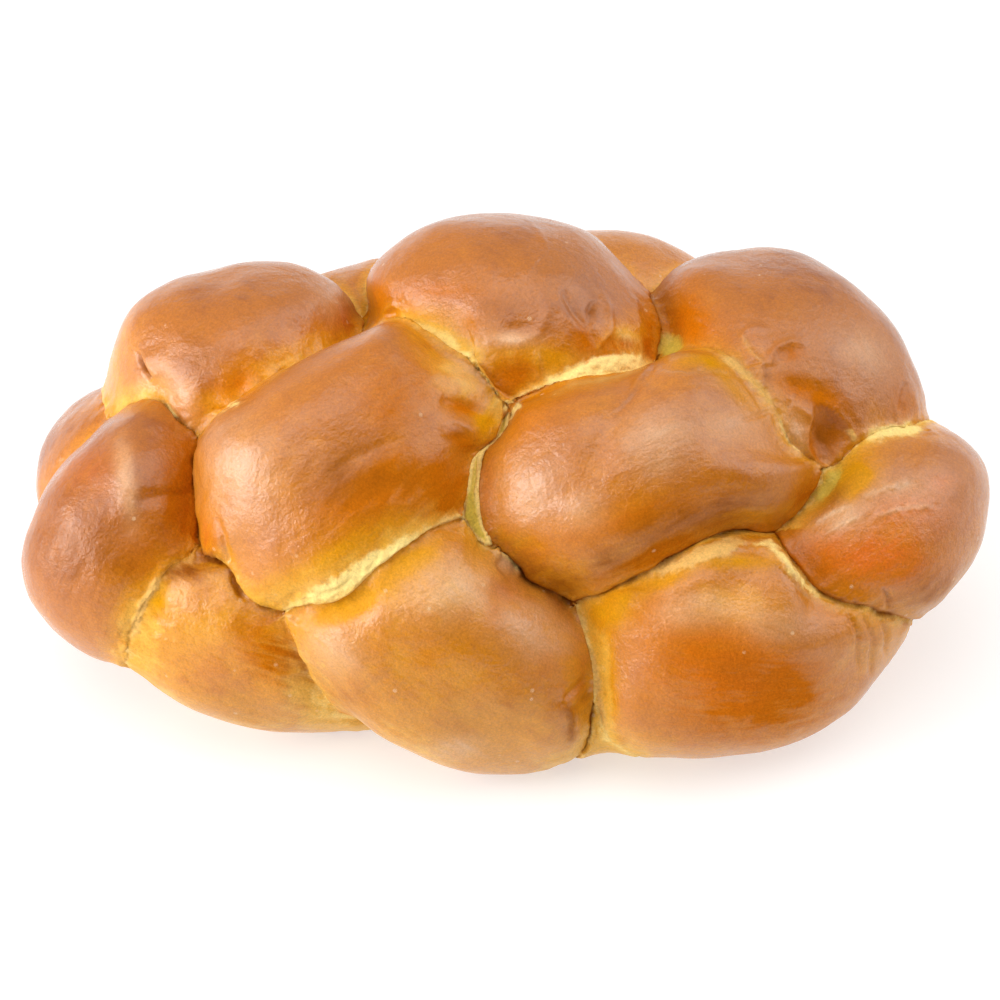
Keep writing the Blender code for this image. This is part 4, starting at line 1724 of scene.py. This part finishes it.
@dataclass(frozen=True)
class Studio:
    """A pale floor in bright surroundings, dark on the camera's side, with a softbox at the left."""

    floor_reach: float = 4.0
    floor_tone: float = 0.5
    floor_glow: float = 0.56
    surround: float = 0.64
    glows: tuple[Glow, ...] = (
        Glow(20.0, 8.0, 34.0, 60.0, -1.0),
        Glow(100.0, 38.0, 14.0, 34.0, 2.0),
        Glow(-40.0, 80.0, 8.0, 32.0, 2.2),
        Glow(-66.0, -6.0, 12.0, 36.0, 0.6),
    )
    key_watts: float = 7.25
    key_side: float = 0.55
    key: Glow = Glow(-70.0, 24.0, 0.0, 0.0, 0.0)
    key_distance: float = 0.95

    def world(self) -> None:
        """Sets the surroundings, a level grey with the glows added, and shows them white to the camera."""
        world = bpy.data.worlds.new("studio_surroundings")
        bpy.context.scene.world = world
        world.use_nodes = True
        world.node_tree.nodes.clear()
        nodes = NodeBuilder(world.node_tree)
        way = nodes.add("TexCoord").outputs["Generated"]
        level = self.surround
        for glow in self.glows:
            spot = nodes.add("VectorMath", {"operation": "DOT_PRODUCT"}, {0: way, 1: glow.way()})
            near = nodes.add(
                "MapRange",
                {"interpolation_type": "SMOOTHSTEP"},
                {
                    "Value": spot.outputs["Value"],
                    "From Min": cos(radians(glow.gone)),
                    "From Max": cos(radians(glow.full)),
                    "To Min": 0.0,
                    "To Max": glow.adds,
                },
            )
            level = nodes.math("ADD", near.outputs["Result"], level)
        level = nodes.math("MAXIMUM", level, 0.0)
        sky = nodes.add("Background", None, {"Color": (1.0, 0.99, 0.975, 1.0), "Strength": level})
        seen = nodes.add("Background", None, {"Color": (1.0, 1.0, 1.0, 1.0), "Strength": 1.0})
        ray = nodes.add("LightPath").outputs["Is Camera Ray"]
        pick = nodes.add("MixShader", None, {0: ray, 1: sky.outputs[0], 2: seen.outputs[0]})
        nodes.add("OutputWorld", None, {"Surface": pick.outputs[0]})

    def softbox(self) -> None:
        """Hangs the key light at the left of the loaf."""
        light = bpy.data.lights.new("key_softbox", "AREA")
        light.shape = "RECTANGLE"
        light.size = self.key_side
        light.size_y = self.key_side
        light.energy = self.key_watts
        light.color = (1.0, 0.99, 0.97)
        lamp = bpy.data.objects.new("key_softbox", light)
        lamp.location = self.key.way() * self.key_distance
        lamp.rotation_euler = self.key.way().to_track_quat("Z", "Y").to_euler()
        bpy.context.scene.collection.objects.link(lamp)

    def floor(self) -> None:
        """Lays the pale floor under the loaf."""
        corners = self.floor_reach * np.array([(-1, -1, 0), (1, -1, 0), (1, 1, 0), (-1, 1, 0)], float)
        mesh = Mesh(corners, np.array([(0, 1, 2), (0, 2, 3)])).to_blender("floor")
        floor = bpy.data.objects.new("floor", mesh)
        bpy.context.scene.collection.objects.link(floor)
        material = bpy.data.materials.new("pale_floor")
        material.use_nodes = True
        shader = material.node_tree.nodes["Principled BSDF"]
        shader.inputs["Base Color"].default_value = (self.floor_tone,) * 3 + (1.0,)
        shader.inputs["Roughness"].default_value = 0.9
        shader.inputs["Specular IOR Level"].default_value = 0.1
        shader.inputs["Emission Color"].default_value = (1.0, 1.0, 1.0, 1.0)
        shader.inputs["Emission Strength"].default_value = self.floor_glow
        mesh.materials.append(material)
        floor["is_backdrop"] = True

    def build(self) -> None:
        """Sets up the whole studio."""
        self.world()
        self.softbox()
        self.floor()
        view = bpy.context.scene.view_settings
        view.view_transform = "Standard"
        view.look = "None"


class NodeBuilder:
    """A short way to place and join shader nodes in one tree."""

    def __init__(self, tree: bpy.types.NodeTree) -> None:
        """Keeps the tree."""
        self.tree = tree

    def add(self, kind: str, settings: dict | None = None, inputs: dict | None = None) -> bpy.types.Node:
        """Adds a node.

        Args:
            kind: The node's type, without its ShaderNode prefix.
            settings: Properties to set on it.
            inputs: For each input, by name or number, a socket to link from or a value to set.

        Returns:
            The node.
        """
        node = self.tree.nodes.new("ShaderNode" + kind)
        for name, value in (settings or {}).items():
            setattr(node, name, value)
        for key, value in (inputs or {}).items():
            if isinstance(value, bpy.types.NodeSocket):
                self.tree.links.new(value, node.inputs[key])
            else:
                node.inputs[key].default_value = value
        return node

    def math(self, operation: str, first: object, second: object = 0.0, third: object = 0.0) -> object:
        """Adds a Math node and returns its output."""
        return self.add("Math", {"operation": operation}, {0: first, 1: second, 2: third}).outputs[0]

    def mix(self, amount: object, first: object, second: object) -> object:
        """Mixes two colours and returns the output."""
        node = self.add("Mix", {"data_type": "RGBA"}, {0: amount, 6: first, 7: second})
        return node.outputs[2]

    def group(self, group: bpy.types.NodeTree, inputs: dict) -> bpy.types.Node:
        """Adds a node of a shared group."""
        return self.add("Group", {"node_tree": group}, inputs)

    def mask(self, name: str) -> object:
        """Returns one of the skin's painted masks."""
        return self.add("Attribute", {"attribute_name": name}).outputs["Fac"]

    def ramp(self, value: object, start: float, end: float) -> object:
        """Returns 0 at start and 1 at end, evenly between; the two may stand either way round."""
        node = self.add("MapRange", None, {"Value": value, "From Min": start, "From Max": end})
        return node.outputs["Result"]

    def noise(self, scale: float, vector: object, detail: float = 3.0, roughness: float = 0.55) -> object:
        """Returns noise around 0.5 of a given scale over a vector."""
        inputs = {"Vector": vector, "Scale": scale, "Detail": detail, "Roughness": roughness}
        return self.add("TexNoise", None, inputs).outputs["Fac"]

    def cells(self, scale: float, vector: object) -> object:
        """Returns the distance from the middles of cells of a given scale over a vector."""
        inputs = {"Vector": vector, "Scale": scale, "Randomness": 1.0}
        return self.add("TexVoronoi", {"feature": "F1"}, inputs).outputs["Distance"]


def shared_group(
    name: str, inputs: dict[str, str], outputs: dict[str, str]
) -> tuple[NodeBuilder, object, object]:
    """Starts a node group.

    Args:
        name: What it is called.
        inputs: For each input its kind of socket, without the NodeSocket prefix.
        outputs: The same for each output.

    Returns:
        A builder for its nodes, its input node and its output node.
    """
    tree = bpy.data.node_groups.new(name, "ShaderNodeTree")
    for way, sockets in (("INPUT", inputs), ("OUTPUT", outputs)):
        for socket, kind in sockets.items():
            tree.interface.new_socket(socket, in_out=way, socket_type="NodeSocket" + kind)
    return NodeBuilder(tree), tree.nodes.new("NodeGroupInput"), tree.nodes.new("NodeGroupOutput")


@dataclass(frozen=True)
class CrustGrain:
    """The crust's fine unevenness: mottling, streaks along the strand, grain, pits, pores and pale blisters.

    Scales are in cells to the metre, heights in parts of the bump's distance, and each edge is where a mask
    starts and where it is full.
    """

    mottle_scale: float = 230.0
    grain_scale: float = 1500.0
    pit_scale: float = 620.0
    pore_scale: float = 620.0
    pore_edge: tuple[float, float] = (0.22, 0.02)
    blister_scale: float = 95.0
    blister_edge: tuple[float, float] = (0.075, 0.035)
    rare_scale: float = 60.0
    rare_edge: tuple[float, float] = (0.45, 0.60)
    mottle_height: float = 4.0
    streak_height: float = 0.9
    grain_height: float = 1.1
    pit_height: float = 1.2
    pore_height: float = -0.25
    blister_height: float = 0.12

    def add(self, nodes: NodeBuilder, place: object, strand: object) -> dict[str, object]:
        """Adds its nodes to a material.

        Args:
            nodes: The material's own builder.
            place: Where a point is.
            strand: The same along its strand, drawn out.

        Returns:
            Mottle, streaks, grain, pores and blisters by name, and the height that all of them make.
        """
        mottle = nodes.noise(self.mottle_scale, place, 4.0)
        streaks = nodes.noise(1.0, strand, 5.0, 0.68)
        grain = nodes.noise(self.grain_scale, place, 4.0, 0.7)
        pits = nodes.noise(self.pit_scale, place, 2.0, 0.6)
        wander = nodes.add("VectorMath", {"operation": "ADD"}, {0: place, 1: strand}).outputs[0]
        pores = nodes.ramp(nodes.cells(self.pore_scale, place), *self.pore_edge)
        spots = nodes.ramp(nodes.cells(self.blister_scale, place), *self.blister_edge)
        rare = nodes.ramp(nodes.noise(self.rare_scale, wander, 1.0), *self.rare_edge)
        blisters = nodes.math("MULTIPLY", spots, rare)
        height = nodes.math("MULTIPLY", mottle, self.mottle_height)
        height = nodes.math("MULTIPLY_ADD", streaks, self.streak_height, height)
        height = nodes.math("MULTIPLY_ADD", grain, self.grain_height, height)
        height = nodes.math("MULTIPLY_ADD", pits, self.pit_height, height)
        height = nodes.math("MULTIPLY_ADD", blisters, self.blister_height, height)
        height = nodes.math("MULTIPLY_ADD", pores, self.pore_height, height)
        made = {"Mottle": mottle, "Streaks": streaks, "Grain": grain, "Pores": pores, "Blisters": blisters}
        return {**made, "Height": height}


def torn_group() -> bpy.types.NodeTree:
    """Builds the effect that tears the edge of a soft mask by a noise.

    Returns:
        A group from a mask and a noise about 0.5 to the torn mask mixed with the soft one.
    """
    nodes, given, made = shared_group("torn_edge", {"Mask": "Float", "Noise": "Float"}, {"Mask": "Float"})
    mask = given.outputs["Mask"]
    shifted = nodes.math("ADD", mask, nodes.math("MULTIPLY_ADD", given.outputs["Noise"], 0.8, -0.4))
    torn = nodes.ramp(shifted, 0.28, 0.62)
    both = nodes.math("MULTIPLY_ADD", torn, 0.65, nodes.math("MULTIPLY", mask, 0.35))
    nodes.tree.links.new(both, made.inputs["Mask"])
    return nodes.tree


# Besides its own colours the crust carries painted highlights, painted shade and the seams' painted contact
# shadow.
@dataclass(frozen=True)
class CrustFinish:
    """Egg-washed crust: golden where it is young, brown on the crowns, pale and dull where it tore."""

    name: str = "egg_washed_crust"
    ramp: tuple[tuple[float, Colour], ...] = (
        (0.00, (0.94, 0.66, 0.21)),
        (0.16, (0.80, 0.42, 0.05)),
        (0.36, (0.66, 0.26, 0.003)),
        (0.58, (0.54, 0.175, 0.002)),
        (0.80, (0.43, 0.125, 0.003)),
        (1.00, (0.31, 0.080, 0.004)),
    )
    amber: Colour = (0.53, 0.135, 0.0005)
    gold: Colour = (0.64, 0.27, 0.002)
    rosy: Colour = (0.66, 0.145, 0.008)
    # Colour for browner crust, also used as painted shade in folds and creases.
    brown: Colour = (0.27, 0.075, 0.005)
    # Colour of the painted highlights: a pale, pinkish tan standing in for the crust's shine.
    sheen: Colour = (0.70, 0.41, 0.21)
    crumb: Colour = (0.74, 0.43, 0.12)
    green: Colour = (0.64, 0.45, 0.06)
    pale: Colour = (0.95, 0.72, 0.26)
    # Colour of the painted contact shadow along the seams, together with the dark of the crack itself.
    line: Colour = (0.24, 0.060, 0.0005)
    blister: Colour = (0.90, 0.62, 0.34)
    roughness: float = 0.42
    rough_mottle: float = 0.14
    rough_matt: float = 0.4
    coat: float = 1.0
    coat_roughness: float = 0.19
    coat_ior: float = 1.62
    washed: tuple[float, float] = (0.04, 0.36)
    specular: float = 0.06
    ior: float = 1.5
    bump_mm: float = 0.12
    ragged_scale: float = 520.0
    seam_ragged: float = 0.5
    tone_streaks: float = 2.0
    bake_mottle: tuple[float, float] = (0.26, -0.23)
    bake_streaks: float = 0.20
    shade_grain: tuple[float, float] = (0.96, 0.53)
    shade_pores: float = -0.10
    blister_share: float = 0.9
    dull_matt: float = 0.9
    warm_matt: float = 1.2
    brown_matt: float = 0.8
    torn_height: float = 3.0

    def build(self) -> bpy.types.Material:
        """Builds the material from the skin's masks and the crust's grain."""
        material = bpy.data.materials.new(self.name)
        material.use_nodes = True
        tree = material.node_tree
        shader = tree.nodes["Principled BSDF"]
        nodes = NodeBuilder(tree)
        place = nodes.add("TexCoord").outputs["Object"]
        strand = nodes.add("Attribute", {"attribute_name": "strand"}).outputs["Vector"]
        grain = CrustGrain().add(nodes, place, strand)
        ragged = nodes.noise(self.ragged_scale, place, 3.0, 0.6)
        masks = self.masks(nodes, ragged, grain["Streaks"])
        bake = nodes.mask("bake")
        line = nodes.mask("line")
        colour = self.baked(nodes, self.level(nodes, bake, ragged, grain))
        # The tones include painted highlights and painted shade; the line then adds the seams' painted
        # contact shadow.
        for tone, mask in masks.items():
            colour = nodes.mix(mask, colour, (*getattr(self, tone.value), 1.0))
        colour = nodes.mix(line, colour, (*self.line, 1.0))
        colour = self.shaded(nodes, colour, grain)
        tree.links.new(colour, shader.inputs["Base Color"])
        pair = nodes.math("MAXIMUM", masks[CRUMB], masks[GREEN])
        dull = nodes.math("MAXIMUM", masks[PALE], pair)
        matt = nodes.math("MAXIMUM", self.matt(nodes, dull, masks), line)
        washed = nodes.math("MULTIPLY", nodes.ramp(bake, *self.washed), self.coat)
        coat = nodes.math("MULTIPLY", washed, nodes.math("SUBTRACT", 1.0, matt))
        tree.links.new(nodes.math("MAXIMUM", coat, 0.0), shader.inputs["Coat Weight"])
        middle = self.roughness - self.rough_mottle / 2
        rough = nodes.math("MULTIPLY_ADD", grain["Mottle"], self.rough_mottle, middle)
        rough = nodes.math("MULTIPLY_ADD", matt, self.rough_matt, rough)
        tree.links.new(rough, shader.inputs["Roughness"])
        shader.inputs["Coat Roughness"].default_value = self.coat_roughness
        shader.inputs["Specular IOR Level"].default_value = self.specular
        shader.inputs["Coat IOR"].default_value = self.coat_ior
        shader.inputs["IOR"].default_value = self.ior
        lumps = nodes.math("MULTIPLY", dull, nodes.math("MULTIPLY", ragged, self.torn_height))
        height = nodes.math("ADD", grain["Height"], lumps)
        for socket, relief in (("Normal", height), ("Coat Normal", grain["Height"])):
            inputs = {"Height": relief, "Distance": self.bump_mm * MM, "Strength": 1.0}
            tree.links.new(nodes.add("Bump", None, inputs).outputs["Normal"], shader.inputs[socket])
        return material

    def masks(self, nodes: NodeBuilder, ragged: object, streaks: object) -> dict[Tone, object]:
        """Reads the masks, tears the edges of the torn tones and streaks the washed ones.

        Args:
            nodes: The material's own builder.
            ragged: The noise that tears.
            streaks: The noise along the strand.

        Returns:
            Each tone's mask.
        """
        torn = torn_group()
        masks = {tone: nodes.mask(tone.value) for tone in Tone if tone is not YOUNG}
        for tone in (CRUMB, GREEN, PALE):
            masks[tone] = nodes.group(torn, {"Mask": masks[tone], "Noise": ragged}).outputs["Mask"]
        uneven = nodes.math("MULTIPLY", streaks, self.tone_streaks)
        for tone in (AMBER, ROSY, BROWN, SHEEN):
            masks[tone] = nodes.math("MULTIPLY", masks[tone], uneven)
        return masks

    def level(self, nodes: NodeBuilder, bake: object, ragged: object, grain: dict[str, object]) -> object:
        """Adds mottling, streaks and ragged seams to how baked the crust is.

        Args:
            nodes: The material's own builder.
            bake: The mask of baking.
            ragged: The noise that tears.
            grain: The crust's grain.

        Returns:
            A value from 0 to 1.
        """
        shift = nodes.math("MULTIPLY_ADD", grain["Mottle"], *self.bake_mottle)
        shift = nodes.math("MULTIPLY_ADD", grain["Streaks"], self.bake_streaks, shift)
        about_zero = nodes.math("MULTIPLY_ADD", ragged, self.seam_ragged, -self.seam_ragged / 2)
        shift = nodes.math("ADD", shift, nodes.math("MULTIPLY", nodes.mask("seam"), about_zero))
        return nodes.math("ADD", bake, shift)

    def shaded(self, nodes: NodeBuilder, colour: object, grain: dict[str, object]) -> object:
        """Darkens the colour by grain and pores, and puts the pale blisters over it.

        Args:
            nodes: The material's own builder.
            colour: The crust's colour.
            grain: The crust's grain.

        Returns:
            The colour.
        """
        shade = nodes.math("MULTIPLY_ADD", grain["Grain"], *self.shade_grain)
        shade = nodes.math("MULTIPLY_ADD", grain["Pores"], self.shade_pores, shade)
        shaded = nodes.add("VectorMath", {"operation": "SCALE"}, {0: colour, 3: shade}).outputs[0]
        share = nodes.math("MULTIPLY", grain["Blisters"], self.blister_share)
        return nodes.mix(share, shaded, (*self.blister, 1.0))

    def matt(self, nodes: NodeBuilder, dull: object, masks: dict[Tone, object]) -> object:
        """Works out how far the torn and the warm places lack the egg wash's gloss.

        Args:
            nodes: The material's own builder.
            dull: The mask of tears.
            masks: The tones' masks.

        Returns:
            A value, 0 where it is glossy.
        """
        warm = nodes.math("MAXIMUM", masks[AMBER], masks[GOLD])
        warm = nodes.math("MAXIMUM", warm, nodes.math("MULTIPLY", masks[BROWN], self.brown_matt))
        torn = nodes.math("MULTIPLY", dull, self.dull_matt)
        return nodes.math("MAXIMUM", torn, nodes.math("MULTIPLY", warm, self.warm_matt))

    def baked(self, nodes: NodeBuilder, level: object) -> object:
        """Turns how baked the crust is into a colour.

        Args:
            nodes: The material's own builder.
            level: How baked it is.

        Returns:
            The colour.
        """
        ramp = nodes.add("ValToRGB", None, {"Fac": level})
        ramp.color_ramp.interpolation = "EASE"
        stops = ramp.color_ramp.elements
        while len(stops) < len(self.ramp):
            stops.new(0.5)
        for stop, (position, colour) in zip(stops, self.ramp):
            stop.position = position
            stop.color = (*colour, 1.0)
        return ramp.outputs["Color"]


@dataclass
class Challah:
    """The loaf, dressed: its skin takes the place of the fused solid."""

    front_rounds = 4
    front_range = (-0.15, 0.1)
    grown_height = (0.5, 5.0)
    smooth_rounds = 3
    strand_shift = 40.0
    strand_cell = (14.0, 2.2, 6.0)
    braid: Braid
    view: Viewpoint
    relief_seed: int = 7
    paint_seed: int = 11

    def surface(self) -> Surface:
        """Builds the settled skin, moves it onto the photograph's lines and reads the form over it."""
        skin = Skin(self.braid, self.view)
        shell = skin.fused_shell()
        log.info("fused shell: %d points", len(shell.points))
        warp = Warp(self.braid, self.view, SEAMS)
        mesh = skin.thinned(shell, warp)
        log.info("thinned: %d points, %d faces", len(mesh.points), len(mesh.faces))
        reading = skin.settle(mesh)
        strand = np.zeros_like(mesh.points)
        for number, name in enumerate(self.braid.names):
            mine = reading.owner == number
            frame = LOBES[TAIL_OF.get(name, name)]
            strand[mine] = frame.strand(mesh.points[mine]) + self.strand_shift * (number % 7)
        mesh.points = warp.move(mesh.points)
        ahead, _ = self.view.axes()
        normals = mesh.normals()
        front = smooth_step(-(mesh.averaged(normals, self.front_rounds) @ ahead), *self.front_range)
        return Surface(
            mesh,
            np.arange(len(mesh.points)),
            reading.owner,
            reading.neighbour,
            reading.gap,
            normals,
            self.view.pixels(mesh.points),
            front,
            strand,
        )

    def fit(self, points: Array, box: tuple[Array, Array]) -> Array:
        """Carries layout points into the solid's box.

        Args:
            points: Points of the layout.
            box: The solid's two corners.

        Returns:
            Points of the frame, in metres.
        """
        lowest, highest = self.reach
        middle = (lowest + highest) / 2
        middle[2] = lowest[2]
        low, high = box
        scale = (high - low) / (highest - lowest)
        foot = np.array([(low[0] + high[0]) / 2, (low[1] + high[1]) / 2, low[2]])
        return (points - middle) * scale + foot

    @property
    def reach(self) -> tuple[Array, Array]:
        """Returns the layout's lowest and highest corners, with the tray at zero."""
        points = np.concatenate([lobe.grid(*Skin.lobe_grid).reshape(-1, 3) for lobe in self.braid.lobes])
        lowest, highest = points.min(0), points.max(0)
        lowest[2] = 0.0
        return lowest, highest

    def build(self, box: tuple[Array, Array]) -> bpy.types.Object:
        """Makes the loaf's object and dresses it.

        Args:
            box: The solid's two corners.

        Returns:
            The loaf.
        """
        surface = self.surface()
        relief = Relief(self.braid, self.relief_seed, self.view.mm_per_pixel())
        above = smooth_step(surface.mesh.points[:, 2], *self.grown_height)
        surface.mesh.points += (relief.heights(surface) * above)[:, None] * surface.normals
        surface.mesh.points[:, 2] = np.maximum(surface.mesh.points[:, 2], 0.0)
        surface.normals = surface.mesh.averaged(surface.mesh.normals(), self.smooth_rounds)
        paint = Paint(self.braid, self.paint_seed, self.view.mm_per_pixel())
        masks = paint.masks(surface.corners())
        placed = Mesh(self.fit(surface.mesh.points, box), surface.mesh.faces)
        mesh = placed.to_blender("challah_crust")
        mesh.validate()
        mesh.shade_smooth()
        for name, mask in masks.items():
            mesh.attributes.new(name, "FLOAT", "CORNER").data.foreach_set("value", mask.astype(np.float32))
        lengthwise = surface.strand / np.array(self.strand_cell)
        strand = mesh.attributes.new("strand", "FLOAT_VECTOR", "POINT")
        strand.data.foreach_set("vector", lengthwise.astype(np.float32).ravel())
        mesh.materials.append(CrustFinish().build())
        loaf = bpy.data.objects.new("challah_crust", mesh)
        bpy.context.scene.collection.objects.link(loaf)
        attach(loaf, "root")
        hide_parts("loaf")
        return loaf


def place_camera(view: Viewpoint, challah: Challah, box: tuple[Array, Array]) -> None:
    """Stands the camera where the photograph was taken from.

    Args:
        view: The photograph's camera.
        challah: The loaf.
        box: The solid's two corners.
    """
    camera = bpy.data.cameras.new("camera")
    camera.sensor_width = SENSOR_MM
    camera.lens = view.focal_pixels * SENSOR_MM / FRAME_PIXELS
    stand = bpy.data.objects.new("camera", camera)
    ahead, _ = view.axes()
    target = challah.fit(np.array([view.target]), box)[0]
    stand.location = target - ahead * view.distance * MM
    stand.rotation_euler = Vector(-ahead).to_track_quat("Z", "Y").to_euler()
    bpy.context.scene.collection.objects.link(stand)
    bpy.context.scene.camera = stand


def main() -> None:
    """Loads the frame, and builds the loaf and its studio."""
    logging.basicConfig(level=logging.INFO, format="%(name)s %(relativeCreated)6d ms: %(message)s")
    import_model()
    solid = [list(map(float, corner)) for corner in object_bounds()]
    box = (np.array(solid[0]), np.array(solid[1]))
    view = Viewpoint()
    challah = Challah(Braid(LOBES, SEAMS), view)
    loaf = challah.build(box)
    log.info("loaf: %d points, %d faces", len(loaf.data.vertices), len(loaf.data.polygons))
    Studio().build()
    place_camera(view, challah, box)


if __name__ == "__main__":
    main()
